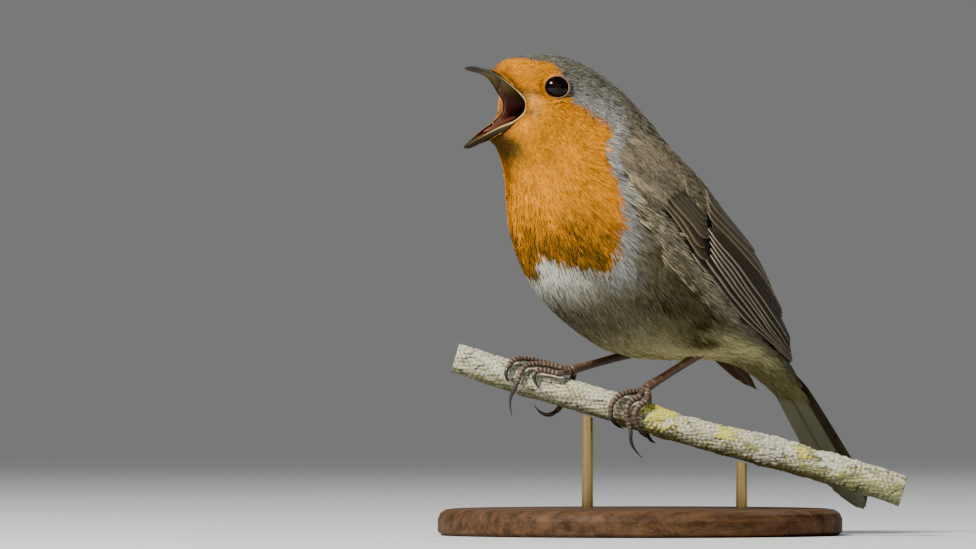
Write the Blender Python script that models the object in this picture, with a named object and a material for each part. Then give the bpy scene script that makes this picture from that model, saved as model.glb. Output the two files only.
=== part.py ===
"""A European robin singing on a cut length of branch, life size, held up by a small display stand.

Z is up and the bill points along -X, so the bird's own middle plane is the XZ plane.  The origin is the
centre of the underside of the stand's base.  Sizes are written in millimetres and become metres where a
mesh is made.
"""

import math

import bmesh
import bpy
import numpy as np
from mathutils import Vector

MM = 0.001
GAP = 0.3  # between solids that meet
SHARP_ANGLE = math.radians(40)  # edges that turn more than this are drawn sharp

# ---------------------------------------------------------------- driving sizes, in millimetres

# The body is drawn as a ship is, by its cross-sections from the mouth to the tip of the tail.  Each row gives
# the section's highest point on the back (x, z), its lowest on the breast (x, z), its half width, how far its
# sides are set back towards the tail, and how far down it is widest, as a share of its depth.
BODY_SECTIONS = (
    # back x, z      belly x, z     width  set back  widest
    (-38.7, 105.2, -40.5, 89.8, 5.2, 5.0, 0.53),  # mouth ring
    (-37.2, 107.0, -38.6, 88.6, 7.0, 3.0, 0.52),
    (-33.0, 108.5, -36.6, 87.0, 8.7, 1.0, 0.50),  # brow
    (-26.5, 109.0, -35.2, 84.6, 9.9, 0.0, 0.50),  # eye
    (-19.0, 108.0, -34.2, 81.0, 10.8, 0.0, 0.52),  # ear
    (-10.5, 103.8, -33.6, 76.5, 12.4, 0.0, 0.52),  # nape and throat
    (-3.0, 97.6, -32.8, 71.0, 15.2, 0.0, 0.50),  # neck
    (4.2, 89.6, -31.0, 65.4, 18.2, 0.0, 0.50),  # shoulder
    (11.5, 81.2, -27.8, 59.0, 19.6, 0.0, 0.50),  # breast
    (18.5, 72.6, -22.5, 52.4, 19.8, 0.0, 0.52),
    (25.0, 64.2, -14.5, 46.2, 19.0, 0.0, 0.54),  # belly
    (30.0, 55.6, -4.0, 41.4, 17.2, 0.0, 0.55),
    (33.5, 48.5, 11.0, 40.5, 13.2, 0.0, 0.55),  # vent
    (36.5, 42.0, 26.5, 39.4, 8.6, 0.0, 0.55),
    (39.2, 36.6, 35.9, 34.2, 7.2, 0.0, 0.50),  # coverts round the tail's base
    (43.2, 30.6, 41.6, 29.6, 6.7, 0.0, 0.45),
    (50.3, 20.2, 49.2, 19.5, 7.4, 0.0, 0.40),
    (58.9, 7.6, 58.1, 7.1, 8.0, -2.5, 0.40),  # tip of the tail
)
# The folded wings lie on this surface, which leaves the body at the vent and runs straight on.
WING_SECTIONS = BODY_SECTIONS[:12] + (
    (34.2, 49.0, 12.0, 40.2, 14.8, 0.0, 0.50),
    (38.2, 42.0, 24.0, 35.4, 12.4, 0.0, 0.50),
    (42.0, 35.4, 32.0, 29.6, 11.0, 0.0, 0.50),
    (45.6, 29.0, 38.0, 24.4, 10.2, 0.0, 0.50),
)
HEAD_END, NECK_END, TRUNK_END = 4.6, 6.6, 13.6  # places of the cuts, counted in sections
RING_POINTS = 28
HEAD_RINGS, NECK_RINGS, TRUNK_RINGS, TAIL_RINGS = 13, 5, 14, 10
END_CUT = 0.035  # the gap between two lengths of the body, in sections
TAIL_ROUNDING = 0.05  # how much shorter the outermost tail feathers are, as a share of the tail

POCKET_ROWS = ((1.0, 0.0), (1.7, 1.4), (3.0, 3.2))  # the mouth's rings: how far in from its rim, and back from it
POCKET_END = (-32.2, 0.0, 96.8)

# Each half of the bill is a hollow cone from an arc of the mouth ring to its tip.  The rise is how far it bows
# upwards on the way, and the pinch how much narrower it is there than a plain cone.
BILL_TIPS = {"upper_bill": (-46.8, 0.0, 106.15), "lower_bill": (-47.0, 0.0, 88.2)}
BILL_RISES = {"upper_bill": 0.5, "lower_bill": 0.3}
BILL_PINCH = 0.25
BILL_REACH = math.radians(62)  # how far round the mouth each half reaches from its ridge
BILL_WALL = 0.7  # its thickness at the mouth
BILL_GAP = 0.45  # between the head and the bill
BILL_POINTS = 11
BILL_RINGS = 8
# The tongue's rows are x, z, half width and half thickness.
TONGUE_POINTS = 10
TONGUE = ((-35.6, 95.0, 1.3, 0.5), (-37.6, 94.2, 1.5, 0.55), (-39.8, 93.3, 1.3, 0.5), (-41.4, 92.7, 0.8, 0.4))
TONGUE_TIP = (-42.0, 0.0, 92.5)

EYE_PLACE = (3.27, math.radians(62))
EYE_RADIUS = 3.3
EYE_DEPTH = 1.9  # of the eyeball's centre under the face
BALL_SEGMENTS, BALL_RINGS = 16, 10

# A folded wing is three shells over the wing bed.  A row gives the place and the angles of the upper and lower
# edges in degrees from the middle of the back.  The right wing droops a little, so its tip lies lower.
WING_COVERTS = ((6.1, 62, 80), (6.6, 52, 86), (7.4, 44, 88), (8.2, 40, 87), (8.9, 38, 86), (9.5, 37, 83))
WING_SECONDARIES = ((9.56, 37, 58.5), (10.2, 36, 53), (10.8, 35, 48), (11.3, 37, 48), (11.7, 43, 49))
WING_PRIMARIES = {
    "left": (
        (9.56, 60, 83), (10.2, 54.5, 80), (10.8, 49.5, 79), (11.4, 51.5, 81), (12.0, 58, 87),
        (12.6, 68, 89), (13.05, 78, 84),
    ),
    "right": (
        (9.56, 60, 86), (10.2, 54.5, 86), (10.8, 49.5, 87), (11.6, 53, 91), (12.5, 62, 98),
        (13.3, 72, 94), (13.95, 78, 84),
    ),
}
WING_LIFT = 0.4  # the clearance under a wing
WING_EDGE = 0.6
WING_MIDDLE = 1.5  # the thickness at a wing's edge and at its middle
WING_POINTS = 7  # across a shell
EXTRA_WING_ROWS = 3  # rows of the mesh beyond those of the table

# The perch runs through this point, falling to the bird's rear and left.
PERCH_POINT = Vector((-3.6, -5.7, 27.0))
PERCH_HEADING = math.radians(-32.0)
PERCH_FALL = math.radians(16.3)
# Rows of the distance along the perch, its bend upwards there, and its radius.
PERCH_ROWS = (
    (-44.0, 0.9, 3.6), (-33.0, 0.6, 3.55), (-21.0, 0.45, 3.45), (-9.0, 0.4, 3.4), (4.0, -0.15, 3.35),
    (17.0, 0.1, 3.4), (34.0, 0.5, 3.5), (48.0, 0.6, 3.5), (62.0, 0.5, 3.55),
)
PERCH_SIDES = 18
PERCH_RINGS = 20

# A leg runs from the knee, inside the belly, by the ankle to the foot.  The knees and ankles are in space, and
# the feet are on the perch.
KNEES = {"left": (17.5, -9.8, 47.5), "right": (9.5, 10.2, 47.0)}
ANKLES = {"left": (13.7, -9.0, 41.5), "right": (6.0, 9.0, 39.7)}
ANKLE_LENGTH = 1.7  # from the end of the feathers to the start of the bare shank
FEET = {"left": (-0.5, 0.0, 7.0), "right": (-18.0, 0.0, 6.6)}
THIGH_RADII = (3.6, 3.2, 2.5, 1.8)
SHANK_RADII = (1.3, 1.05, 0.95, 0.95, 1.0, 1.25)
TOE_RADII = (0.85, 0.78, 0.72, 0.66)
CLAW_RADII = (0.5, 0.42, 0.3, 0.16)
THIGH_RINGS, SHANK_RINGS, TOE_RINGS, CLAW_RINGS = 5, 7, 8, 7
THIGH_SIDES, SHANK_SIDES, TOE_SIDES, CLAW_SIDES = 12, 10, 8, 6
OPENING_REACH = 1.6  # the room cut for a thigh runs this many times its length
# The line of each toe and of its claw, as distances along the perch, angles round it from its top, and distances
# from its axis.  The claw takes the last four points.  The first toe is the hind one and the second the inner.
CLAW_POINTS = 4
TOE_CUT = 0.3  # the gap before a claw, in points of the line
TOES = {
    ("left", 1): (
        (0.5, -20, 5.3), (1.2, -50, 4.8), (1.8, -85, 4.7), (2.2, -115, 4.7),
        (2.6, -133, 4.7), (3.4, -150, 4.7), (4.3, -164, 4.7), (5.0, -175, 4.6),
    ),
    ("left", 2): (
        (-1.9, 8, 5.3), (-4.0, 26, 4.9), (-5.9, 52, 4.7), (-7.0, 85, 4.7),
        (-6.4, 115, 4.7), (-5.3, 132, 4.7), (-4.0, 145, 4.5), (-2.8, 154, 4.2),
    ),
    ("left", 3): (
        (-1.5, 36, 5.2), (-3.1, 62, 4.8), (-3.4, 84, 4.8), (-2.6, 108, 4.9),
        (-1.2, 131, 5.8), (-0.7, 143, 6.8), (0.6, 153, 8.1), (3.0, 162, 9.2),
    ),
    ("left", 4): (
        (0.6, 40, 5.2), (-0.8, 62, 4.8), (-1.4, 82, 4.7), (-1.0, 104, 4.7),
        (0.6, 127, 4.7), (1.8, 140, 4.6), (3.0, 152, 4.4), (3.9, 162, 4.1),
    ),
    ("right", 1): (
        (-17.2, -25, 5.3), (-17.1, -60, 4.8), (-17.3, -95, 4.7), (-17.8, -128, 4.8),
        (-18.7, -154, 5.4), (-20.2, -168, 6.1), (-22.2, -175, 5.8), (-23.8, -178, 4.7),
    ),
    ("right", 2): (
        (-20.3, 44, 5.2), (-22.2, 43, 4.9), (-24.2, 45, 4.8), (-25.4, 54, 4.7),
        (-25.8, 68, 4.7), (-25.4, 80, 4.6), (-24.6, 91, 4.4), (-23.7, 99, 4.2),
    ),
    ("right", 3): (
        (-20.4, 16, 5.2), (-24.2, 19, 5.0), (-27.5, 40, 4.8), (-28.8, 70, 4.8),
        (-29.0, 105, 5.2), (-29.3, 124, 6.3), (-29.2, 139, 7.8), (-28.0, 151, 9.6),
    ),
    ("right", 4): (
        (-20.6, -9, 5.2), (-24.8, -4, 5.1), (-28.6, 12, 4.9), (-31.2, 42, 4.7),
        (-32.0, 75, 4.7), (-31.9, 90, 4.6), (-31.4, 101, 4.4), (-30.8, 110, 4.2),
    ),
}

BASE_RADIUS = 46.0
BASE_PROFILE = ((0.0, -1.0), (0.8, 0.0), (3.6, 0.0), (5.0, -0.6), (5.8, -1.8), (6.0, -3.2))  # height, swell
BASE_SIDES = 56
ROD_RADIUS = 1.3
ROD_PLACES = {"front": -11.5, "back": 25.0}  # along the perch
ROD_SIDES = 16


# ---------------------------------------------------------------- shapes worked out from the sizes


def spline(values):
    """Natural cubic spline through rows of values at 0, 1, 2 and so on, as a function of an array of places.

    The second derivatives m solve m[i-1] + 4 m[i] + m[i+1] = 6 (v[i-1] - 2 v[i] + v[i+1]), with none at the ends.
    """
    values = np.asarray(values, float).reshape(len(values), -1)
    count = len(values)
    matrix = np.eye(count)
    bends = np.zeros_like(values)
    for i in range(1, count - 1):
        matrix[i, i - 1 : i + 2] = 1, 4, 1
        bends[i] = 6 * (values[i - 1] - 2 * values[i] + values[i + 1])
    bends = np.linalg.solve(matrix, bends)

    def at(places):
        places = np.clip(np.atleast_1d(np.asarray(places, float)), 0, count - 1)
        low = np.minimum(places.astype(int), count - 2)
        t = (places - low)[:, None]
        a, b = values[low], values[low + 1]
        ma, mb = bends[low], bends[low + 1]
        return (1 - t) * a + t * b + ((1 - t) ** 3 - (1 - t)) * ma / 6 + (t**3 - t) * mb / 6

    return at


BODY = spline(BODY_SECTIONS)
WING_BED = spline(WING_SECTIONS)


def body_point(place, angle, swell=0.0, table=BODY):
    """Points of the body's surface.  place counts sections, angle turns from the back (0) over the bird's left
    side to the breast (pi), and swell moves the surface outwards.

    Each section is two half ellipses that share the width: up from its widest line to the back, and down to
    the breast.  The bird's left is -Y, because its bill points along -X.
    """
    place, angle = np.broadcast_arrays(np.atleast_1d(place), np.atleast_1d(angle))
    xb, zb, xv, zv, width, setback, widest = table(place.ravel()).T
    back, belly = np.stack([xb, zb]), np.stack([xv, zv])
    depth = np.linalg.norm(back - belly, axis=0)
    outwards = (back - belly) / depth
    back, belly = back + outwards * swell, belly - outwards * swell
    middle = back + (belly - back) * widest
    c, s = np.cos(angle.ravel()), np.sin(angle.ravel())
    half = np.where(c > 0, back - middle, middle - belly)
    x, z = middle + half * c
    x = x + setback * s**2
    y = -(width + swell) * s
    return np.stack([x, y, z], axis=1)


# ---------------------------------------------------------------- making meshes


def material(name, colour, roughness, metallic=0.0):
    made = bpy.data.materials.new(name)
    made.use_nodes = True
    shader = made.node_tree.nodes["Principled BSDF"]
    shader.inputs["Base Color"].default_value = (*colour, 1.0)
    shader.inputs["Roughness"].default_value = roughness
    shader.inputs["Metallic"].default_value = metallic
    made.diffuse_color = (*colour, 1.0)
    return made


def add_object(name, mesh_bm, finish):
    bmesh.ops.recalc_face_normals(mesh_bm, faces=mesh_bm.faces)
    if mesh_bm.calc_volume(signed=True) < 0:
        bmesh.ops.reverse_faces(mesh_bm, faces=mesh_bm.faces)
    mesh = bpy.data.meshes.new(name)
    mesh_bm.to_mesh(mesh)
    mesh_bm.free()
    mesh.shade_smooth()
    mesh.set_sharp_from_angle(angle=SHARP_ANGLE)
    mesh.materials.append(finish)
    made = bpy.data.objects.new(name, mesh)
    bpy.context.scene.collection.objects.link(made)
    return made


def faces_between(bm, first, second, closed=True):
    """Quads from one row of vertices to the next."""
    count = len(first)
    for i in range(count if closed else count - 1):
        j = (i + 1) % count
        bm.faces.new((first[i], first[j], second[j], second[i]))


def fan(bm, row, tip):
    """Triangles from a closed row of vertices to a point."""
    point = bm.verts.new(Vector(tip) * MM)
    for i in range(len(row)):
        bm.faces.new((row[i], row[(i + 1) % len(row)], point))


def loft(name, rings, finish, tips=(None, None)):
    """A closed solid through a list of rings of points, with flat ends, or with a point where tips gives one."""
    bm = bmesh.new()
    rows = [[bm.verts.new(Vector(p) * MM) for p in ring] for ring in rings]
    for first, second in zip(rows, rows[1:]):
        faces_between(bm, first, second)
    for row, tip in zip((rows[0], rows[-1]), tips):
        if tip is None:
            bm.faces.new(row)
        else:
            fan(bm, row, tip)
    return add_object(name, bm, finish)


def shell(name, outer, inner, finish, tip=None):
    """A closed solid between an outer and an inner grid of points of the same size, both from one end to the
    other.  Its last end is flat, or comes to a point where tip gives one."""
    bm = bmesh.new()
    outside = [[bm.verts.new(Vector(p) * MM) for p in row] for row in outer]
    inside = [[bm.verts.new(Vector(p) * MM) for p in row] for row in inner]
    rings = [out + list(reversed(under)) for out, under in zip(outside, inside)]
    for first, second in zip(rings, rings[1:]):
        faces_between(bm, first, second)
    faces_between(bm, outside[0], inside[0], closed=False)
    if tip is None:
        faces_between(bm, outside[-1], inside[-1], closed=False)
    else:
        fan(bm, rings[-1], tip)
    return add_object(name, bm, finish)


def tube(name, path, radii, sides, finish, pointed=False):
    """A round solid along an array of points, its radius going evenly through the radii."""
    path = np.asarray(path, float)
    along = np.gradient(path, axis=0)
    along /= np.linalg.norm(along, axis=1)[:, None]
    widths = spline(np.array(radii)[:, None])(np.linspace(0, len(radii) - 1, len(path)))[:, 0]
    turns = np.linspace(0, 2 * math.pi, sides, endpoint=False)[:, None]
    side = np.cross(along[0], np.roll(along[0], 1))
    rings = []
    for centre, heading, width in zip(path, along, widths):
        side = side - heading * (side @ heading)
        side = side / np.linalg.norm(side)
        rings.append(centre + width * (np.cos(turns) * side + np.sin(turns) * np.cross(heading, side)))
    tip = path[-1] + along[-1] * widths[-1] if pointed else None
    return loft(name, rings, finish, (None, tip))


def cut(solid, cutter):
    """Cut one solid out of another with an exact Boolean, and remove the cutter."""
    cutter.hide_render = True
    cutter.display_type = "WIRE"
    step = solid.modifiers.new("cut", "BOOLEAN")
    step.operation = "DIFFERENCE"
    step.solver = "EXACT"
    step.object = cutter
    graph = bpy.context.evaluated_depsgraph_get()
    mesh = bpy.data.meshes.new_from_object(solid.evaluated_get(graph))
    solid.modifiers.remove(step)
    bpy.data.objects.remove(cutter)
    solid.data = mesh


def ball(name, centre, radius, finish):
    bm = bmesh.new()
    bmesh.ops.create_uvsphere(bm, u_segments=BALL_SEGMENTS, v_segments=BALL_RINGS, radius=radius * MM)
    bmesh.ops.translate(bm, verts=bm.verts, vec=Vector(centre) * MM)
    return add_object(name, bm, finish)


# ---------------------------------------------------------------- the parts


def body_rings(start, end, count, swell=0.0, rounding=0.0):
    """Rings of the body at evenly spaced places.  With rounding, the sides of the rings are drawn forward."""
    angles = np.linspace(0, 2 * math.pi, RING_POINTS, endpoint=False)
    reach = (end - start) * (1 - rounding * np.sin(angles) ** 4)
    return [body_point(start + reach * share, angles, swell) for share in np.linspace(0, 1, count)]


def make_body(finish):
    tail_tip = len(BODY_SECTIONS) - 1
    pocket = [body_rings(0, 0, 1, -inwards)[0] + (back, 0, 0) for inwards, back in reversed(POCKET_ROWS)]
    loft("head", pocket + body_rings(0, HEAD_END - END_CUT, HEAD_RINGS), finish, (POCKET_END, None))
    loft("neck", body_rings(HEAD_END, NECK_END - END_CUT, NECK_RINGS), finish)
    loft("trunk", body_rings(NECK_END, TRUNK_END - END_CUT, TRUNK_RINGS), finish)
    loft("tail", body_rings(TRUNK_END, tail_tip, TAIL_RINGS, rounding=TAIL_ROUNDING), finish)


def make_bill_half(name, middle_angle, finish):
    """A cone from an arc of the mouth ring to the tip.  The ring at a share s of the way is the arc shrunk to
    1 - s about the tip, narrowed by pinch times sin(pi s), and lifted by rise times sin(pi s)."""
    tip = np.array(BILL_TIPS[name])
    angles = middle_angle + np.linspace(-BILL_REACH, BILL_REACH, BILL_POINTS)
    arc = body_point(0, angles) - (BILL_GAP, 0, 0)
    hollow = body_point(0, angles, -BILL_WALL) - (BILL_GAP, 0, 0)
    outer = []
    inner = []
    for share in np.linspace(0, 1, BILL_RINGS, endpoint=False):
        bow = math.sin(math.pi * share)
        scale = (1 - share) * np.array((1, 1 - BILL_PINCH * bow, 1))
        lift = (0, 0, BILL_RISES[name] * bow)
        outer.append(tip + (arc - tip) * scale + lift)
        inner.append(tip + (hollow - tip) * scale + lift)
    shell(name, outer, inner, finish, tip)


def make_bill(horn, flesh):
    make_bill_half("upper_bill", 0, horn)
    make_bill_half("lower_bill", math.pi, horn)
    turns = np.linspace(0, 2 * math.pi, TONGUE_POINTS, endpoint=False)
    rings = []
    for x, z, width, thickness in TONGUE:
        rings.append([(x, width * math.cos(t), z + thickness * math.sin(t)) for t in turns])
    loft("tongue", rings, flesh, (None, TONGUE_TIP))


def make_eyes(finish):
    """An eye on each side, in a socket cut into the head, its centre under the face along the face's normal."""
    place, angle = EYE_PLACE
    step = 0.01
    face = body_point(place, angle)[0]
    forward = body_point(place + step, angle)[0] - face
    down = body_point(place, angle + step)[0] - face
    inwards = np.cross(forward, down)
    inwards *= EYE_DEPTH / np.linalg.norm(inwards)
    if inwards[1] < 0:
        inwards = -inwards
    head = bpy.data.objects["head"]
    for side, mirror in (("left", 1), ("right", -1)):
        centre = (face + inwards) * (1, mirror, 1)
        cut(head, ball("socket", centre, EYE_RADIUS + GAP, finish))
        ball("eye_" + side, centre, EYE_RADIUS, finish)


def make_wing_part(name, rows, mirror, finish):
    """One shell of a wing.  Its thickness swells from the edges to the middle as a half sine."""
    rows = spline(rows)(np.linspace(0, len(rows) - 1, len(rows) + EXTRA_WING_ROWS))
    share = np.linspace(0, 1, WING_POINTS)
    outer = []
    inner = []
    for place, upper, lower in rows:
        angles = np.radians(upper + (lower - upper) * share)
        thickness = WING_EDGE + (WING_MIDDLE - WING_EDGE) * np.sin(math.pi * share)
        outer.append(body_point(place, angles, WING_LIFT + thickness, WING_BED) * (1, mirror, 1))
        inner.append(body_point(place, angles, WING_LIFT, WING_BED) * (1, mirror, 1))
    shell(name, outer, inner, finish)


def make_wings(finish):
    for side, mirror in (("left", 1), ("right", -1)):
        make_wing_part(f"wing_{side}_coverts", WING_COVERTS, mirror, finish)
        make_wing_part(f"wing_{side}_secondaries", WING_SECONDARIES, mirror, finish)
        make_wing_part(f"wing_{side}_primaries", WING_PRIMARIES[side], mirror, finish)


def perch_point(along, angle=0.0, distance=0.0):
    """A point at a distance from the perch's axis, turned round it by an angle from its top to the bird's left."""
    level = Vector((math.cos(PERCH_HEADING), math.sin(PERCH_HEADING), 0.0))
    axis = level * math.cos(PERCH_FALL) - Vector((0, 0, math.sin(PERCH_FALL)))
    outwards = Vector((level.y, -level.x, 0.0))
    upwards = level * math.sin(PERCH_FALL) + Vector((0, 0, math.cos(PERCH_FALL)))
    bend = perch_size(along)[0]
    lifted = upwards * (bend + distance * math.cos(angle))
    return PERCH_POINT + axis * along + lifted + outwards * distance * math.sin(angle)


def perch_size(along):
    """The perch's bend upwards and its radius at a distance along it."""
    table = np.array(PERCH_ROWS)
    starts = table[:, 0]
    place = np.interp(along, starts, np.arange(len(starts)))
    return spline(table[:, 1:])(place)[0]


def make_perch(finish):
    rings = []
    for along in np.linspace(PERCH_ROWS[0][0], PERCH_ROWS[-1][0], PERCH_RINGS):
        radius = perch_size(along)[1]
        turns = np.linspace(0, 2 * math.pi, PERCH_SIDES, endpoint=False)
        rings.append([perch_point(along, turn, radius) for turn in turns])
    loft("perch", rings, finish)


def make_leg(side, plumage, skin, horn):
    """The thigh, shank, toes and claws of one leg, with room for the first two cut into the trunk."""
    knee = Vector(KNEES[side])
    ankle = Vector(ANKLES[side])
    along, angle, distance = FEET[side]
    foot = perch_point(along, angle, distance)
    thigh = [knee.lerp(ankle, t) for t in np.linspace(0, 1, THIGH_RINGS)]
    tube(f"thigh_{side}", thigh, THIGH_RADII, THIGH_SIDES, plumage)
    start = ankle + (foot - ankle).normalized() * ANKLE_LENGTH
    shank = [start.lerp(foot, t) for t in np.linspace(0, 1, SHANK_RINGS)]
    tube(f"shank_{side}", shank, SHANK_RADII, SHANK_SIDES, skin)
    trunk = bpy.data.objects["trunk"]
    before = GAP / (ankle - knee).length
    opening = [knee.lerp(ankle, t) for t in np.linspace(-before, OPENING_REACH, THIGH_RINGS)]
    cut(trunk, tube("opening", opening, [radius + GAP for radius in THIGH_RADII], THIGH_SIDES, plumage))
    cut(trunk, tube("groove", [ankle] + shank, [radius + GAP for radius in SHANK_RADII], SHANK_SIDES, plumage))
    for toe in (1, 2, 3, 4):
        points = [perch_point(s, math.radians(a), d) for s, a, d in TOES[side, toe]]
        line = spline(points)
        joint = len(points) - CLAW_POINTS
        toe_line = line(np.linspace(0, joint - TOE_CUT, TOE_RINGS))
        claw_line = line(np.linspace(joint, len(points) - 1, CLAW_RINGS))
        tube(f"toe_{side}_{toe}", toe_line, TOE_RADII, TOE_SIDES, skin)
        tube(f"claw_{side}_{toe}", claw_line, CLAW_RADII, CLAW_SIDES, horn, pointed=True)


def make_stand(wood, metal):
    """A round base, and two rods cut off aslant just under the perch."""
    turns = np.linspace(0, 2 * math.pi, BASE_SIDES, endpoint=False)
    rings = []
    for height, swell in BASE_PROFILE:
        radius = BASE_RADIUS + swell
        rings.append([(radius * math.cos(t), radius * math.sin(t), height) for t in turns])
    loft("stand_base", rings, wood)
    foot = BASE_PROFILE[-1][0] + GAP
    turns = np.linspace(0, 2 * math.pi, ROD_SIDES, endpoint=False)
    for name, along in ROD_PLACES.items():
        radius = perch_size(along)[1]
        under = perch_point(along, math.pi, radius + GAP)
        fall = math.tan(PERCH_FALL)
        level = Vector((math.cos(PERCH_HEADING), math.sin(PERCH_HEADING), 0.0))
        low = []
        high = []
        for t in turns:
            out = Vector((math.cos(t), math.sin(t), 0.0)) * ROD_RADIUS
            low.append((under.x + out.x, under.y + out.y, foot))
            high.append((under.x + out.x, under.y + out.y, under.z - out.dot(level) * fall))
        loft("stand_rod_" + name, (low, high), metal)


def main():
    for old in list(bpy.data.objects):
        bpy.data.objects.remove(old)
    plumage = material("plumage", (0.3, 0.25, 0.15), 0.8)
    wing = material("wing_feathers", (0.12, 0.09, 0.06), 0.7)
    horn = material("horn", (0.08, 0.07, 0.06), 0.4)
    flesh = material("mouth_lining", (0.35, 0.08, 0.05), 0.5)
    eye = material("eye", (0.01, 0.008, 0.007), 0.05)
    skin = material("leg_skin", (0.2, 0.1, 0.06), 0.5)
    bark = material("bark", (0.35, 0.33, 0.26), 0.9)
    wood = material("stand_wood", (0.06, 0.035, 0.02), 0.4)
    brass = material("brass", (0.6, 0.45, 0.2), 0.3, 1.0)
    make_body(plumage)
    make_bill(horn, flesh)
    make_eyes(eye)
    make_wings(wing)
    make_perch(bark)
    make_leg("left", plumage, skin, horn)
    make_leg("right", plumage, skin, horn)
    make_stand(wood, brass)


main()
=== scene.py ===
"""A European robin singing on a cut length of branch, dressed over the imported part.

Sizes are in millimetres until a mesh is made.  Z is up, the bill points along -X, and the bird's left is -Y.
"""

import math

import bpy
import numpy as np
from mathutils import Matrix, Vector


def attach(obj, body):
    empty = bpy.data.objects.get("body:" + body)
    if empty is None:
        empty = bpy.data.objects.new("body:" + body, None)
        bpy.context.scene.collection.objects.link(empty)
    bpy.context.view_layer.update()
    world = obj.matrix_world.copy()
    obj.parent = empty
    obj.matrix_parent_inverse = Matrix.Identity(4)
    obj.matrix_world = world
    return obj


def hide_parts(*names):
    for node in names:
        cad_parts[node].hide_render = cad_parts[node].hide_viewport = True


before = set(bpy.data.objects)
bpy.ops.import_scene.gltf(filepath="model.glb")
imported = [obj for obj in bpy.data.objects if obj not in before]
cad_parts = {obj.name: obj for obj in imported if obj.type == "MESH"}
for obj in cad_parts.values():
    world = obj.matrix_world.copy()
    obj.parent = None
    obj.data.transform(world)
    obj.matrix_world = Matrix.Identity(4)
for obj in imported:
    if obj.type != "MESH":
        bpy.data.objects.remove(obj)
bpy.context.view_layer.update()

bl_info = {
    "name": "Singing Robin",
    "version": (1, 0, 0),
    "blender": (4, 5, 0),
    "location": "View3D > Sidebar > Robin",
    "description": "Builds the plumage, bill, feet, perch and stage of a life-size singing robin",
    "category": "Add Mesh",
}

MM = 0.001

# ---------------------------------------------------------------- the body's own coordinates

# The body's cross-sections: back (x, z), belly (x, z), half width, set back, and where it is widest.
BODY_SECTIONS = (
    (-38.7, 105.2, -40.5, 89.8, 5.2, 5.0, 0.53),  # mouth ring
    (-37.2, 107.0, -38.6, 88.6, 7.0, 3.0, 0.52),
    (-33.0, 108.5, -36.6, 87.0, 8.7, 1.0, 0.50),  # brow
    (-26.5, 109.0, -35.2, 84.6, 9.9, 0.0, 0.50),  # eye
    (-19.0, 108.0, -34.2, 81.0, 10.8, 0.0, 0.52),  # ear
    (-10.5, 103.8, -33.6, 76.5, 12.4, 0.0, 0.52),  # nape and throat
    (-3.0, 97.6, -32.8, 71.0, 15.2, 0.0, 0.50),  # neck
    (4.2, 89.6, -31.0, 65.4, 18.2, 0.0, 0.50),  # shoulder
    (11.5, 81.2, -27.8, 59.0, 19.6, 0.0, 0.50),  # breast
    (18.5, 72.6, -22.5, 52.4, 19.8, 0.0, 0.52),
    (25.0, 64.2, -14.5, 46.2, 19.0, 0.0, 0.54),  # belly
    (30.0, 55.6, -4.0, 41.4, 17.2, 0.0, 0.55),
    (33.5, 48.5, 11.0, 40.5, 13.2, 0.0, 0.55),  # vent
    (36.5, 42.0, 26.5, 39.4, 8.6, 0.0, 0.55),
    (39.2, 36.6, 35.9, 34.2, 7.2, 0.0, 0.50),  # coverts round the tail's base
    (43.2, 30.6, 41.6, 29.6, 6.7, 0.0, 0.45),
    (50.3, 20.2, 49.2, 19.5, 7.4, 0.0, 0.40),
    (58.9, 7.6, 58.1, 7.1, 8.0, -2.5, 0.40),  # tip of the tail
)
WING_BRANCH = 12  # the wings' bed leaves the body at this section
WING_SECTIONS = BODY_SECTIONS[:WING_BRANCH] + (
    (34.2, 49.0, 12.0, 40.2, 14.8, 0.0, 0.50),
    (38.2, 42.0, 24.0, 35.4, 12.4, 0.0, 0.50),
    (42.0, 35.4, 32.0, 29.6, 11.0, 0.0, 0.50),
    (45.6, 29.0, 38.0, 24.4, 10.2, 0.0, 0.50),
)
SIDES = (("left", 1), ("right", -1))  # each side, and the sign of the angles there


def spline(values):
    """Natural cubic spline through rows of values at 0, 1, 2 and so on, as a function of an array of
    places.  The second derivatives m solve m[i-1] + 4 m[i] + m[i+1] = 6 (v[i-1] - 2 v[i] + v[i+1]), with
    none at the ends."""
    values = np.asarray(values, float).reshape(len(values), -1)
    count = len(values)
    matrix = np.eye(count)
    bends = np.zeros_like(values)
    for i in range(1, count - 1):
        matrix[i, i - 1 : i + 2] = 1, 4, 1
        bends[i] = 6 * (values[i - 1] - 2 * values[i] + values[i + 1])
    bends = np.linalg.solve(matrix, bends)

    def at(places):
        """(1 - t) v[i] + t v[i+1], plus ((1 - t)^3 - (1 - t)) m[i] / 6 and (t^3 - t) m[i+1] / 6."""
        places = np.clip(np.asarray(places, float), 0, count - 1)
        low = np.minimum(places.astype(int), count - 2)
        t = (places - low)[..., None]
        first = (1 - t) * values[low] + ((1 - t) ** 3 - (1 - t)) * bends[low] / 6
        return first + t * values[low + 1] + (t**3 - t) * bends[low + 1] / 6

    return at


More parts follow.
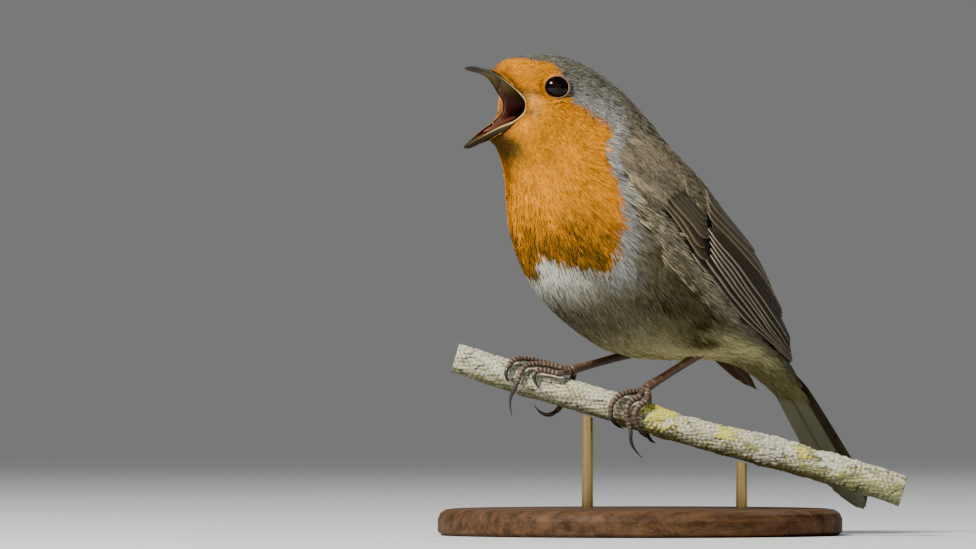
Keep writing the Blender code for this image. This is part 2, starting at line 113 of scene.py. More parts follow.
def body_surface(sections):
    """A function of place, angle and swell that gives points of a surface lofted through the sections."""
    table = spline(sections)

    def surface(place, angle, swell=0.0):
        """Each section is two half ellipses that share its width, one up to the back and one down to the
        breast.  place counts sections, angle turns from the back over the left side to the breast, and
        swell is outwards."""
        place, angle, swell = np.broadcast_arrays(place, angle, swell)
        xb, zb, xv, zv, width, setback, widest = np.moveaxis(table(place), -1, 0)
        depth = np.hypot(xb - xv, zb - zv)
        ux, uz = (xb - xv) / depth, (zb - zv) / depth
        xb, zb, xv, zv = xb + ux * swell, zb + uz * swell, xv - ux * swell, zv - uz * swell
        xm, zm = xb + (xv - xb) * widest, zb + (zv - zb) * widest
        c, s = np.cos(angle), np.sin(angle)
        x = xm + np.where(c > 0, xb - xm, xm - xv) * c + setback * s**2
        z = zm + np.where(c > 0, zb - zm, zm - zv) * c
        return np.stack([x, -(width + swell) * s, z], axis=-1)

    return surface


BODY = body_surface(BODY_SECTIONS)
WING_BED = body_surface(WING_SECTIONS)
TAIL_TIP = len(BODY_SECTIONS) - 1

# ---------------------------------------------------------------- numbers and noise


def unit(vectors):
    """Vectors over their own lengths."""
    return vectors / np.maximum(np.linalg.norm(vectors, axis=-1, keepdims=True), 1e-9)


def smooth(values):
    """0 below 0, 1 above 1, and 3 t^2 - 2 t^3 between."""
    t = np.clip(values, 0, 1)
    return t * t * (3 - 2 * t)


def step(values, none, full):
    """A smooth step, from 0 where a value is none to 1 where it is full.  Either of them may be the
    greater."""
    return smooth((values - none) / (full - none))


def band(values, edges):
    """0 outside the outer two of four edges, 1 between the inner two, and smooth steps from one to the
    other."""
    return step(values, edges[0], edges[1]) * step(values, edges[3], edges[2])


def near(values, middle, width):
    """1 in the middle, and away from it exp of minus the square of the distance over the width."""
    return np.exp(-(((values - middle) / width) ** 2))


def table_at(table, places, column=1):
    """A column of a table at places, which are the first column, on straight lines from row to row."""
    rows = np.array(table)
    return np.interp(places, rows[:, 0], rows[:, column])


def lerp(first, second, share):
    """The first value, moved a share of the way to the second."""
    return first + (second - first) * share


def circle(count):
    """Angles evenly round a turn."""
    return np.linspace(0, 2 * math.pi, count, endpoint=False)


def ripple(points, size, seed, count=9):
    """Smooth noise, mostly from -1 to 1: a sum of sine waves of about this length in random directions."""
    rng = np.random.default_rng(seed)
    headings = unit(rng.normal(size=(count, 3)))
    waves = headings * (2 * math.pi / (size * rng.uniform(0.6, 1.5, count)))[:, None]
    return np.sin(points @ waves.T + rng.uniform(0, 6.3, count)).sum(-1) / math.sqrt(count)


def directions(surface, place, angle):
    """How far the surface goes for a step of place and for one of angle, and its outward normal, by
    differences."""
    shift = 0.01
    along = (surface(place + shift, angle) - surface(place - shift, angle)) / (2 * shift)
    around = (surface(place, angle + shift) - surface(place, angle - shift)) / (2 * shift)
    return along, around, unit(np.cross(around, along))


# ---------------------------------------------------------------- making meshes


def grid_faces(rows, columns, closed=False):
    """Corner numbers of the quads between neighbouring rows of a grid.  closed joins the last column to
    the first."""
    i = np.arange(rows - 1)[:, None] * columns
    j = np.arange(columns if closed else columns - 1)[None, :]
    k = (j + 1) % columns
    return np.stack([i + j, i + columns + j, i + columns + k, i + k], axis=-1).reshape(-1, 4)


def repeated(faces, copies, stride):
    """The same corner numbers for each copy, whose points start a stride further on."""
    return (faces[None] + np.arange(copies)[:, None, None] * stride).reshape(-1, faces.shape[1])


def add_mesh(name, points, faces, material, paint=None, maps=None, closed=True):
    """A mesh object at the origin from points in millimetres and arrays of corner numbers.

    paint gives each point a colour, and maps gives UV maps by name, a pair for each point.  A closed mesh
    whose volume, the sum of the tetrahedra from the origin to its faces, is negative has its faces turned
    round.
    """
    points = np.asarray(points, float).reshape(-1, 3)
    if closed:
        volume = 0.0
        for group in faces:
            a = points[group[:, 0]]
            for k in range(2, group.shape[1]):
                b, c = points[group[:, k - 1]], points[group[:, k]]
                volume += np.einsum("ij,ij->i", a, np.cross(b, c)).sum()
        if volume < 0:
            faces = [group[:, ::-1] for group in faces]
    corners = np.concatenate([group.ravel() for group in faces]).astype(np.int32)
    sizes = np.concatenate([np.full(len(group), group.shape[1]) for group in faces])
    starts = np.concatenate([[0], np.cumsum(sizes)[:-1]]).astype(np.int32)
    mesh = bpy.data.meshes.new(name)
    mesh.vertices.add(len(points))
    mesh.vertices.foreach_set("co", (points * MM).astype(np.float32).ravel())
    mesh.loops.add(len(corners))
    mesh.loops.foreach_set("vertex_index", corners)
    mesh.polygons.add(len(starts))
    mesh.polygons.foreach_set("loop_start", starts)
    mesh.update(calc_edges=True)
    mesh.shade_smooth()
    if paint is not None:
        colours = np.ones((len(points), 4), np.float32)
        colours[:, :3] = np.clip(np.asarray(paint).reshape(-1, 3), 0, 1)
        mesh.color_attributes.new("paint", "FLOAT_COLOR", "POINT").data.foreach_set("color", colours.ravel())
    for title, pairs in (maps or {}).items():
        pairs = np.asarray(pairs, np.float32).reshape(-1, 2)[corners]
        mesh.uv_layers.new(name=title).data.foreach_set("uv", pairs.ravel())
    mesh.materials.append(material)
    made = bpy.data.objects.new(name, mesh)
    bpy.context.scene.collection.objects.link(made)
    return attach(made, "root")


def ring_solid(rings):
    """Points and faces of closed solids from rings of points, an array of (solids, rings, around, 3).
    Each solid's ends are closed with fans to the middles of its end rings."""
    rings = np.asarray(rings, float)
    if rings.ndim == 3:
        rings = rings[None]
    solids, rows, columns, _ = rings.shape
    stride = rows * columns + 2
    ends = rings[:, [0, -1]].mean(axis=2)
    points = np.concatenate([rings.reshape(solids, -1, 3), ends], axis=1).reshape(-1, 3)
    first = np.arange(columns)
    second = (first + 1) % columns
    last = (rows - 1) * columns
    start_fan = np.stack([first, second, np.full(columns, stride - 2)], axis=1)
    end_fan = np.stack([last + second, last + first, np.full(columns, stride - 1)], axis=1)
    kinds = (grid_faces(rows, columns, closed=True), start_fan, end_fan)
    return points, [repeated(kind, solids, stride) for kind in kinds]


def ring_values(values):
    """Values of the rings' points with the mean of each end ring added for the points that close the
    ends."""
    values = np.asarray(values, float)
    if values.ndim == 3:
        values = values[None]
    ends = values[:, [0, -1]].mean(axis=2)
    return np.concatenate([values.reshape(len(values), -1, values.shape[-1]), ends], axis=1)


def add_rings(name, rings, material, paint, maps=None):
    """A mesh of closed solids from their rings, with a paint and maps that are given ring by ring."""
    points, faces = ring_solid(rings)
    paint = ring_values(np.broadcast_to(paint, rings.shape))
    maps = {title: ring_values(pairs) for title, pairs in (maps or {}).items()}
    return add_mesh(name, points, faces, material, paint, maps)


def tube_rings(path, up, radii, sides, relief=1.0, flat=1.0):
    """Rings round a path.  Each ring's second axis is the up vector less its part along the path, and its
    first is square to both.  relief multiplies the radius, an array of (rings, around), and flat the
    height."""
    path = np.asarray(path, float)
    heading = unit(np.gradient(path, axis=0))
    up = np.broadcast_to(np.asarray(up, float), path.shape)
    up = unit(up - heading * (up * heading).sum(-1, keepdims=True))
    side = np.cross(heading, up)
    turns = circle(sides)
    radius = np.asarray(radii, float)[:, None] * relief * np.ones(sides)
    across = side[:, None] * np.cos(turns)[:, None] + up[:, None] * (flat * np.sin(turns))[:, None]
    return path[:, None] + across * radius[..., None]


# ---------------------------------------------------------------- materials


class Wire:
    """A socket of a material's nodes.  Arithmetic on it adds Math nodes, and node() adds any other node."""

    def __init__(self, tree, socket=None):
        self.tree = tree
        self.socket = socket

    def node(self, kind, settings=None, values=None, output=0):
        """A node of a kind, its settings made first, then the values or links of its sockets."""
        made = self.tree.nodes.new("ShaderNode" + kind)
        for key, value in (settings or {}).items():
            setattr(made, key, value)
        for key, value in (values or {}).items():
            if isinstance(value, Wire):
                self.tree.links.new(value.socket, made.inputs[key])
            else:
                made.inputs[key].default_value = value
        return Wire(self.tree, made.outputs[output])

    def math(self, operation, *values):
        """A Math node of an operation on wires or numbers."""
        return self.node("Math", {"operation": operation}, dict(enumerate(values)))

    def __add__(self, other):
        return self.math("ADD", self, other)

    def __mul__(self, other):
        return self.math("MULTIPLY", self, other)

    __radd__ = __add__
    __rmul__ = __mul__

    def between(self, low, high):
        """0 where the value is low, 1 where it is high, smooth between."""
        settings = {"interpolation_type": "SMOOTHSTEP"}
        return self.node("MapRange", settings, {"Value": self, "From Min": low, "From Max": high})

    def mix(self, first, second):
        """The first colour where this is 0 and the second where it is 1."""
        return self.node("Mix", {"data_type": "RGBA"}, {0: self, 6: first, 7: second}, output=2)

    def times(self, first, second):
        """The product of two colours."""
        settings = {"data_type": "RGBA", "blend_type": "MULTIPLY"}
        return self.node("Mix", settings, {0: 1.0, 6: first, 7: second}, output=2)


def colour(*rgb):
    """A colour with its alpha."""
    return (*rgb, 1.0)


def finish(name, **constants):
    """A new material.  Returns it, a function that feeds a socket of its shader, and a wire to build
    nodes from."""
    made = bpy.data.materials.new(name)
    made.use_nodes = True
    tree = made.node_tree
    shader = tree.nodes["Principled BSDF"]
    for key, value in constants.items():
        shader.inputs[key.replace("_", " ")].default_value = value

    def feed(key, wire):
        """Link a wire to one of the shader's sockets."""
        tree.links.new(wire.socket, shader.inputs[key])

    return made, feed, Wire(tree)


def mapped(wire, stretch, source=None):
    """Places times a stretch along each axis.  They are in the object's own space, unless from a source."""
    where = source or wire.node("TexCoord", output=3)
    return wire.node("Mapping", {}, {"Vector": where, "Scale": stretch})


def noise_at(wire, size, detail=3.0, roughness=0.55, source=None):
    """Noise from 0 to 1, with features of a size in millimetres.  It is in the object's own space, unless
    its places are from a source."""
    where = source or wire.node("TexCoord", output=3)
    values = {"Vector": where, "Scale": 1 / (size * MM), "Detail": detail, "Roughness": roughness}
    return wire.node("TexNoise", {}, values)


def bump_from(wire, height, distance):
    """A normal from a height of 0 to 1, whose full rise is a distance in millimetres."""
    return wire.node("Bump", {}, {"Height": height, "Distance": distance * MM, "Strength": 1.0})


def toned(wire, tone):
    """The mesh's paint, with each of its channels times a tone."""
    paint = wire.node("Attribute", {"attribute_name": "paint"})
    grey = wire.node("CombineColor", {}, {channel: tone for channel in range(3)})
    return wire.times(paint, grey)


def painted(name, fine, depth, grain=0.25, stretch=None, **constants):
    """A material that shows the mesh's paint, varied in tone by fine noise, with the same noise as
    relief."""
    made, feed, wire = finish(name, **constants)
    grains = noise_at(wire, fine, source=mapped(wire, stretch) if stretch else None)
    feed("Base Color", toned(wire, grains * (2 * grain) + (1 - grain)))
    feed("Normal", bump_from(wire, grains, depth))
    return made


# ---------------------------------------------------------------- sizes and colours a user would change


def colour_property(title, description, rgb):
    """A colour setting with its default."""
    return bpy.props.FloatVectorProperty(
        name=title, description=description, default=rgb, subtype="COLOR", size=3, min=0.0, max=1.0
    )


class ROBIN_PG_plumage(bpy.types.PropertyGroup):
    """Colours and fullness of the plumage."""

    orange: colour_property("Orange", "The breast and cheeks", (0.70, 0.27, 0.003))
    rust: colour_property("Rust", "The forehead, and the shadows of the orange", (0.40, 0.135, 0.004))
    crown: colour_property("Crown", "The crown and nape", (0.152, 0.150, 0.124))
    slate: colour_property("Slate", "The band beside the orange", (0.285, 0.288, 0.275))
    mantle: colour_property("Mantle", "The back and rump", (0.166, 0.152, 0.108))
    flank: colour_property("Flank", "The flanks", (0.145, 0.132, 0.082))
    # umber is also painted shade: the lower breast is darkened with it where it turns down, away from the
    # light, besides its streaks
    umber: colour_property("Umber", "The dark streaks of the lower breast", (0.085, 0.050, 0.008))
    belly: colour_property("Belly", "The middle of the belly", (0.66, 0.66, 0.58))
    # vent is partly the pale feathers' own colour and partly painted light: a yellow-green glow as of light
    # thrown up from below
    vent: colour_property("Vent", "The rear of the belly and under the tail", (0.56, 0.53, 0.26))
    cream: colour_property("Cream", "The loose feathers over the wing's lower edge", (0.42, 0.37, 0.22))
    # dusk is also painted shade: on the flanks below the wings, the painted shadows under the bill and under
    # the wing's bend, and the wider painted shade behind the right gape
    dusk: colour_property("Dusk", "The darkest part of the flanks, and the thighs", (0.052, 0.042, 0.020))
    wing: colour_property("Wing coverts", "The small feathers of the wing", (0.185, 0.160, 0.108))
    bristles: bpy.props.IntProperty(
        name="Bristles", description="How many tufts lie over the base of each half of the bill",
        default=620, min=10,
    )
    tufts: bpy.props.IntProperty(
        name="Tufts", description="How many tufts make the coat", default=23000, min=2000, max=30000
    )


class ROBIN_PG_quills(bpy.types.PropertyGroup):
    """Colours of the long feathers."""

    quill: colour_property("Quill", "The flight feathers", (0.026, 0.020, 0.014))
    quill_edge: colour_property("Quill edge", "The flight feathers' pale outer edges", (0.42, 0.36, 0.26))
    vane_under: colour_property("Vane below", "The undersides of the wing feathers", (0.22, 0.14, 0.10))
    tertial: colour_property("Tertial", "The feathers that cover the folded wing", (0.062, 0.044, 0.026))
    covert: colour_property("Covert", "The greater coverts", (0.070, 0.057, 0.036))
    covert_edge: colour_property("Covert edge", "The greater coverts' edges", (0.25, 0.215, 0.13))
    tail_top: colour_property("Tail above", "The tail from above", (0.035, 0.028, 0.019))
    tail_under: colour_property("Tail below", "The tail from below", (0.26, 0.26, 0.16))


class ROBIN_PG_hard_parts(bpy.types.PropertyGroup):
    """Colours of the bill, mouth, eyes and feet."""

    horn: colour_property("Horn", "The bill and claws", (0.028, 0.028, 0.026))
    horn_pale: colour_property("Pale horn", "The bill's sides near the mouth", (0.17, 0.155, 0.065))
    gape: colour_property("Gape", "The soft rim of the mouth", (0.60, 0.46, 0.20))
    mouth: colour_property("Mouth", "The floor and sides of the mouth", (0.11, 0.026, 0.012))
    palate: colour_property("Palate", "The roof of the mouth", (0.16, 0.12, 0.045))
    tongue: colour_property("Tongue", "The tongue", (0.085, 0.022, 0.011))
    lid: colour_property("Eyelid", "The ring round the eye", (0.52, 0.40, 0.20))
    leg: colour_property("Leg", "The shanks and toes", (0.070, 0.042, 0.028))
    # leg_pale is also a painted highlight on the tops of the toes' scutes, besides their worn edges
    leg_pale: colour_property("Leg joints", "The worn edges of the toes' scutes", (0.50, 0.43, 0.34))


class ROBIN_PG_perch(bpy.types.PropertyGroup):
    """Colours of the perch and the stand."""

    bark: colour_property("Bark", "The bark where the light bleaches it", (0.62, 0.60, 0.47))
    moss: colour_property("Green bark", "The bark's green film", (0.30, 0.30, 0.14))
    crevice: colour_property("Crevice", "Cracks and dark bark", (0.045, 0.040, 0.026))
    yellow: colour_property("Yellow lichen", "The lichen that glows yellow", (0.74, 0.69, 0.10))
    pale: colour_property("Grey lichen", "The grey-green leafy lichen", (0.72, 0.73, 0.60))
    wood: colour_property("Wood", "The stand's base", (0.085, 0.042, 0.020))
    brass: colour_property("Brass", "The stand's rods", (0.62, 0.44, 0.19))


class ROBIN_PG_stage(bpy.types.PropertyGroup):
    """The camera, the light and the floor."""

    azimuth: bpy.props.FloatProperty(
        name="Azimuth", description="Where the camera stands round the bird", default=math.radians(-32),
        subtype="ANGLE", unit="ROTATION",
    )
    distance: bpy.props.FloatProperty(
        name="Distance", description="How far the camera is from the bird", default=4.0, unit="LENGTH"
    )
    frame_width: bpy.props.FloatProperty(
        name="Frame width", description="The width that the camera sees at the bird", default=0.2218,
        unit="LENGTH",
    )
    aim: bpy.props.FloatVectorProperty(
        name="Aim", description="What the camera points at", default=(-0.0293, 0.0183, 0.0592),
        subtype="TRANSLATION", unit="LENGTH",
    )
    floor: colour_property("Floor", "The floor and what is behind it", (0.66, 0.69, 0.73))


GROUPS = {
    "plumage": ROBIN_PG_plumage,
    "quills": ROBIN_PG_quills,
    "hard": ROBIN_PG_hard_parts,
    "perch": ROBIN_PG_perch,
    "stage": ROBIN_PG_stage,
}


class ROBIN_PG_all(bpy.types.PropertyGroup):
    """Every group of settings."""

    plumage: bpy.props.PointerProperty(type=ROBIN_PG_plumage)
    quills: bpy.props.PointerProperty(type=ROBIN_PG_quills)
    hard: bpy.props.PointerProperty(type=ROBIN_PG_hard_parts)
    perch: bpy.props.PointerProperty(type=ROBIN_PG_perch)
    stage: bpy.props.PointerProperty(type=ROBIN_PG_stage)


def rgb(value):
    """A colour as an array."""
    return np.array(value, float)


# ---------------------------------------------------------------- plumage

# How deep the coat is over the skin, how long its tufts are, how wide their blades, and how many tufts
# stand on a square millimetre, by place along the body.
COAT_ROWS = (
    # place, depth, length, width, crowding
    (0.0, 0.35, 1.2, 0.13, 2.6),
    (1.0, 0.55, 1.7, 0.15, 2.2),
    (2.5, 0.70, 2.1, 0.17, 1.8),
    (4.2, 1.00, 3.0, 0.21, 1.2),
    (6.0, 1.50, 4.4, 0.27, 0.72),
    (8.0, 1.90, 5.4, 0.30, 0.55),
    (11.0, 1.90, 6.0, 0.32, 0.50),
    (13.5, 1.20, 6.0, 0.32, 0.60),
    (15.0, 0.60, 6.0, 0.30, 0.60),
)
DEPTH, LENGTH, WIDTH, CROWDING = 1, 2, 3, 4  # the columns of that table
# Where the orange begins, in degrees from the middle of the back, by place, and the place where it ends,
# by angle.
ORANGE_TOP = (
    (0.0, 0), (1.5, 0), (2.04, 21), (2.6, 32), (3.1, 38.5), (3.4, 46), (3.65, 54), (3.8, 64), (3.98, 71.5),
    (4.6, 71.5), (5.0, 71), (5.6, 69), (5.72, 77), (5.85, 86), (6.16, 90), (6.66, 92), (7.18, 100),
    (7.77, 111), (8.14, 116), (8.6, 128),
)
LORE = ((0.0, 61.5), (1.52, 74.0), (2.35, 78.2), (2.7, 80))  # the dark line from the gape to under the eye
ORANGE_END = ((110, 8.35), (130, 8.46), (144, 8.12), (156, 7.80), (166, 7.50), (174, 7.75), (180, 8.25))
# The folded wing's upper and lower edges, in degrees from the middle of the back, by place.
WING_TOP = (
    (6.1, 62), (6.6, 52), (7.4, 44), (8.2, 40), (8.9, 38), (9.5, 37), (10.2, 36), (10.8, 35), (11.3, 37),
    (11.7, 43), (12.3, 57), (12.6, 68), (13.05, 78),
)
WING_LOW = {
    1: (
        (6.1, 80), (6.6, 86), (7.4, 88), (8.2, 87), (8.9, 86), (9.5, 83), (10.2, 80), (10.8, 79), (11.4, 81),
        (12.0, 87), (12.6, 89), (13.05, 84),
    ),
    -1: (
        (6.1, 80), (6.6, 86), (7.4, 88), (8.2, 87), (8.9, 86), (9.5, 86), (10.2, 86), (10.8, 87), (11.6, 91),
        (12.5, 98), (13.3, 94), (13.95, 84),
    ),
}
EYE_PLACE = (3.27, math.radians(62))
EYE_RADIUS = 3.3
EYE_DEPTH = 1.9
EYE_AXIS = (-0.36, -0.93, 0.06)  # where the left eye looks: mostly sideways, a little forward and up
EYE_OPENING = 2.66  # the radius of the eye that shows
EYE_SQUINT = 0.86  # the height of that opening over its width
LID_HEIGHT = 2.0  # how high the coat round the eye comes over the eye's centre
SOCKET = (4.6, 3.2)  # how far from the eye's axis the face begins to sink, and where it has sunk fully
SKIN_SOCKET_HEIGHT = 1.35  # how high the skin round the eye comes over the eye's centre

# The borders of each patch of the plumage, by place and by degrees from the middle of the back.  A patch
# is full between the inner two of four borders, and there's none outside the outer two.
FRONT = TOP = (-2, -1)
REAR = BOTTOM = (198, 199)
ALL_ALONG = (*FRONT, *REAR)
ALL_ROUND = (*TOP, *BOTTOM)
PATCHES = {
    "crown": ((*FRONT, 4.6, 6.2), ALL_ROUND),
    "flank": ((6.2, 7.2, *REAR), ALL_ROUND),
    "hind_belly": ((9.7, 11.9, *REAR), ALL_ROUND),
    "belly": ((6.8, 7.6, *REAR), ALL_ROUND),
    "belly_streaks": (ALL_ALONG, (*TOP, 150, 166)),
    "vent": ((12.0, 13.2, *REAR), (106, 132, *BOTTOM)),
    "shadow": ((12.4, 13.6, *REAR), ALL_ROUND),
    "flank_shadow": ((7.6, 9.2, 11.0, 12.4), (80, 94, 116, 140)),
    "slate": ((3.7, 4.4, 8.9, 9.9), (*TOP, 126, 150)),
    "forehead": ((*FRONT, 0.1, 1.7), ALL_ROUND),
    "breast": ((6.2, 8.2, *REAR), ALL_ROUND),
    # the lower breast's streaks, laid on heavily as painted shade
    "low_breast": ((5.6, 7.5, *REAR), (98, 132, *BOTTOM)),
    # a dark band behind the gape, wider on the right side as painted shade
    "gape_rim": (ALL_ALONG, (72, 84, 118, 130)),
    "under_lore": ((*FRONT, 1.8, 3.0), ALL_ROUND),
    # the painted shadow under the bill
    "chin_shadow": ((*FRONT, 2.2, 4.2), (132, 154, *BOTTOM)),
    "lie_shoulder": ((4.2, 5.4, 7.2, 9.4), (60, 78, 98, 134)),
    "lie_flank": ((8.4, 9.8, 11.0, 12.6), (96, 112, 132, 156)),
    "gape_corner": (ALL_ALONG, (60, 84, 98, 122)),
}
# The white of the belly: the degrees where it begins, over how many it grows, how much its border wavers,
# the place where it has ended, and the place where it begins to.
BELLY_WHITE = (132, 20, 0.12, 9.4, 8.0)
KNEE_SPOT = ((11.35, 0.50), (121, 13))  # the middle and the width of a dark spot, by place and by degrees
GAPE_NOTCH = ((1.6, 0.42), (102, 6))  # and those of the dark notch behind the gape
DEGREE_SIZES = ((0, 0.09), (3, 0.18), (6, 0.27), (9, 0.33), (12, 0.25), (14, 0.13))  # millimetres, by place
SLATE_WIDTHS = ((3.4, 1.0), (4.2, 5.5), (5.5, 6.0), (7.0, 5.0), (9.0, 6.5))  # millimetres, by place
PLACE_SIZE = 9.0  # about how many millimetres one step of place is on the breast
RIGHT_ORANGE_END = 8.25  # the right side's orange reaches at least this place
LOW_SIDE = 84  # degrees where the sides begin
LORE_WIDTH = 3.2  # degrees
UNDER_LORE = (0, 8, 22, 34)  # borders in degrees below the lore's line


def side_degrees(angle):
    """The angle from the middle of the back in degrees, the same on both sides, 180 on the breast."""
    return np.degrees(np.abs((np.asarray(angle) + math.pi) % (2 * math.pi) - math.pi))


def patch(name, place, side):
    """How full a patch is at a place: the product of its two bands."""
    places, sides = PATCHES[name]
    return band(place, places) * band(side, sides)


def spot(place, side, middles):
    """How full a soft round spot is: the product of two bell curves."""
    return near(place, *middles[0]) * near(side, *middles[1])


def eye_frame():
    """The left eye's centre, a depth under the face along the face's normal, and the direction it looks
    in."""
    place, angle = (np.array(v) for v in EYE_PLACE)
    _, _, normal = directions(BODY, place, angle)
    return BODY(place, angle) - normal * EYE_DEPTH, unit(np.array(EYE_AXIS))


def from_eye(points):
    """Distance of points from the axis of the eye on their own side, and their height along it."""
    centre, normal = eye_frame()
    mirrored = points * np.where(points[..., 1:2] > 0, (1, -1, 1), (1, 1, 1))
    offset = mirrored - centre
    sideways = unit(np.cross(normal, (0, 0, 1.0)))
    beside = offset @ sideways
    above = offset @ np.cross(normal, sideways)
    return np.hypot(beside, above / EYE_SQUINT), offset @ normal


def over(settings, base, name, share):
    """A layer of paint: one of the settings' colours laid over the base, where the share is 1 in full."""
    return lerp(base, rgb(getattr(settings, name)), np.clip(share, 0, 1)[..., None])


def plain_paint(settings, place, side, angle, points, inside, wander):
    """The plumage apart from the orange, from the back to the belly, each layer over the ones before it."""
    low = (side - LOW_SIDE) * table_at(DEGREE_SIZES, place) + wander
    start, reach, waver, none, full = BELLY_WHITE
    white = smooth((side - start) / reach + waver * wander) * step(place, none, full)
    paint = np.broadcast_to(rgb(settings.mantle), points.shape)
    paint = over(settings, paint, "crown", patch("crown", place, side))
    streak = ripple(np.stack([2.2 * place, 0.33 * side, 3 * np.sin(angle)], axis=-1), 2.0, 11)
    paint = paint * (1 + 0.24 * streak)[..., None]
    paint = over(settings, paint, "flank", smooth(low / 4) * patch("flank", place, side))
    # the vent's yellow-green, here and under the tail, is partly painted light thrown up from below
    paint = over(settings, paint, "vent", smooth(low / 6) * patch("hind_belly", place, side))
    paint = over(settings, paint, "belly", 0.9 * white * patch("belly", place, side))
    lines = step(ripple(points * (1, 1, 1.6), 1.3, 18), 0.1, 0.9)
    paint = over(settings, paint, "dusk", 0.30 * lines * white * patch("belly_streaks", place, side))
    paint = over(settings, paint, "vent", patch("vent", place, side))
    paint = paint * (1 - 0.48 * patch("shadow", place, side))[..., None]
    dusky = 0.58 + 0.30 * ripple(points, 5, 13)
    paint = over(settings, paint, "dusk", dusky * patch("flank_shadow", place, side))
    paint = over(settings, paint, "dusk", 0.9 * spot(place, side, KNEE_SPOT))
    beside = smooth(1.25 + (inside - wander) / table_at(SLATE_WIDTHS, place))
    paint = over(settings, paint, "slate", 0.92 * beside * patch("slate", place, side))
    return paint


def orange_paint(settings, place, side, angle, points, inside):
    """The orange of the face and breast, with its rusty shadows, the dark and pale marks of the face, and
    painted shade under the bill, behind the right gape and on the lower breast.
    """
    right = np.sin(angle) < 0
    tall = points * (1, 1, 0.5)
    lore = table_at(LORE, place)
    streaks = smooth(0.5 + ripple(points * (1, 1, 2), 1.6, 15))
    paint = np.broadcast_to(rgb(settings.orange), points.shape)
    paint = over(settings, paint, "rust", 0.9 * patch("forehead", place, side))
    deep = smooth(0.25 + 0.5 * ripple(points, 6, 9)) * 0.35 + step(inside, 2.2, -0.2) * 0.25
    deep = deep + (0.30 + 0.45 * ripple(tall, 2.4, 14)) * patch("breast", place, side)
    paint = over(settings, paint, "rust", deep)
    # the lower breast's dark streaks, laid on heavily as painted shade
    shaded = (0.72 + 0.45 * ripple(tall, 1.8, 16)) * patch("low_breast", place, side)
    paint = over(settings, paint, "umber", shaded)
    line = 0.9 * near(side, lore, LORE_WIDTH) * step(place, LORE[-1][0], LORE[-1][0] - 0.5)
    notch = 0.9 * spot(place, side, GAPE_NOTCH)
    # A dark band behind the gape: a thin line on the left, and on the right, far side a wider band of
    # painted shade.
    reach = np.where(right, 1.0, 0.30)
    rim = 0.6 * step(place, reach, 0.5 * reach) * patch("gape_rim", place, side)
    below = band(side - lore, UNDER_LORE) * patch("under_lore", place, side)
    paint = over(settings, paint, "cream", np.where(right, 0.15, 0.5) * below * streaks)
    paint = over(settings, paint, "dusk", np.maximum(np.maximum(line * (0.5 + 0.5 * streaks), notch), rim))
    # the painted shadow under the bill, over the throat's own darker feather bases
    paint = over(settings, paint, "dusk", 0.88 * patch("chin_shadow", place, side))
    return paint * (1 + 0.14 * ripple(points, 1.3, 17))[..., None]


def markings(settings, place, angle, points):
    """The plumage's colour.  The orange lies where the distance in millimetres inside its wavering
    border, the smaller of the distances from its top and from its end, is more than about nothing."""
    side = side_degrees(angle)
    wander = ripple(points, 7, 3) * 0.7 + ripple(points, 3, 4) * 0.4
    place = place + 0.06 * ripple(points, 1.7, 6)
    end = table_at(ORANGE_END, side)
    end = np.where(np.sin(angle) < 0, np.maximum(end, RIGHT_ORANGE_END), end)
    from_top = (side - table_at(ORANGE_TOP, place)) * table_at(DEGREE_SIZES, place)
    inside = np.minimum(from_top, (end - place) * PLACE_SIZE)
    paint = plain_paint(settings, place, side, angle, points, inside, wander)
    orange = orange_paint(settings, place, side, angle, points, inside)
    share = smooth(0.5 + (inside + 0.55 * wander) / 1.5)
    return lerp(paint, orange, share[..., None])


BAKE_PATCH = 0.003  # the size of a tuft's own patch on the bake map
BAKE_EDGE, BAKE_SPAN = 0.01, 0.97  # the empty edge of that map, and how much of it the unwrap takes


def bake_map(place, angle):
    """Places on an unwrap of the skin: its own angle across and its own place along."""
    turn = ((np.asarray(angle) + math.pi) / (2 * math.pi)) % 1.0
    way = np.clip(np.asarray(place) / TAIL_TIP, 0, 1)
    return BAKE_EDGE + BAKE_SPAN * np.stack([turn, way], axis=-1)


def scatter(surface, places, angles, count, rng, density=None, cells=240):
    """Roots spread over a span of a surface, each at random in one of count equal shares of its area,
    which a density by place weighs."""
    p = np.linspace(*places, cells + 1)[:-1] + (places[1] - places[0]) / cells / 2
    a = np.linspace(*angles, cells + 1)[:-1] + (angles[1] - angles[0]) / cells / 2
    p, a = (v.ravel() for v in np.meshgrid(p, a, indexing="ij"))
    along, around, _ = directions(surface, p, a)
    weight = np.linalg.norm(np.cross(along, around), axis=-1) * (density(p) if density else 1.0)
    total = np.cumsum(weight)
    picked = np.searchsorted(total, (np.arange(count) + rng.random(count)) / count * total[-1])
    p = p[picked] + (rng.random(count) - 0.5) * (places[1] - places[0]) / cells
    a = a[picked] + (rng.random(count) - 0.5) * (angles[1] - angles[0]) / cells
    return p, a


FLUFF = 2.2  # how far the loose feathers of the belly hang down
FLUFF_SPOT = (12.2, 1.0)  # the middle of them, and how far they spread, by place
FLUFF_SIDE = (104, 138)  # degrees where they begin, and where they hang in full
BLADES = 8  # in a tuft
BLADE_STEPS = np.array((0.0, 0.34, 0.70, 1.0))
BLADE_TAPER = np.array((0.75, 1.0, 0.78, 0.12))
BLADE_EDGES = np.array((-0.45, 0.45)) / BLADES
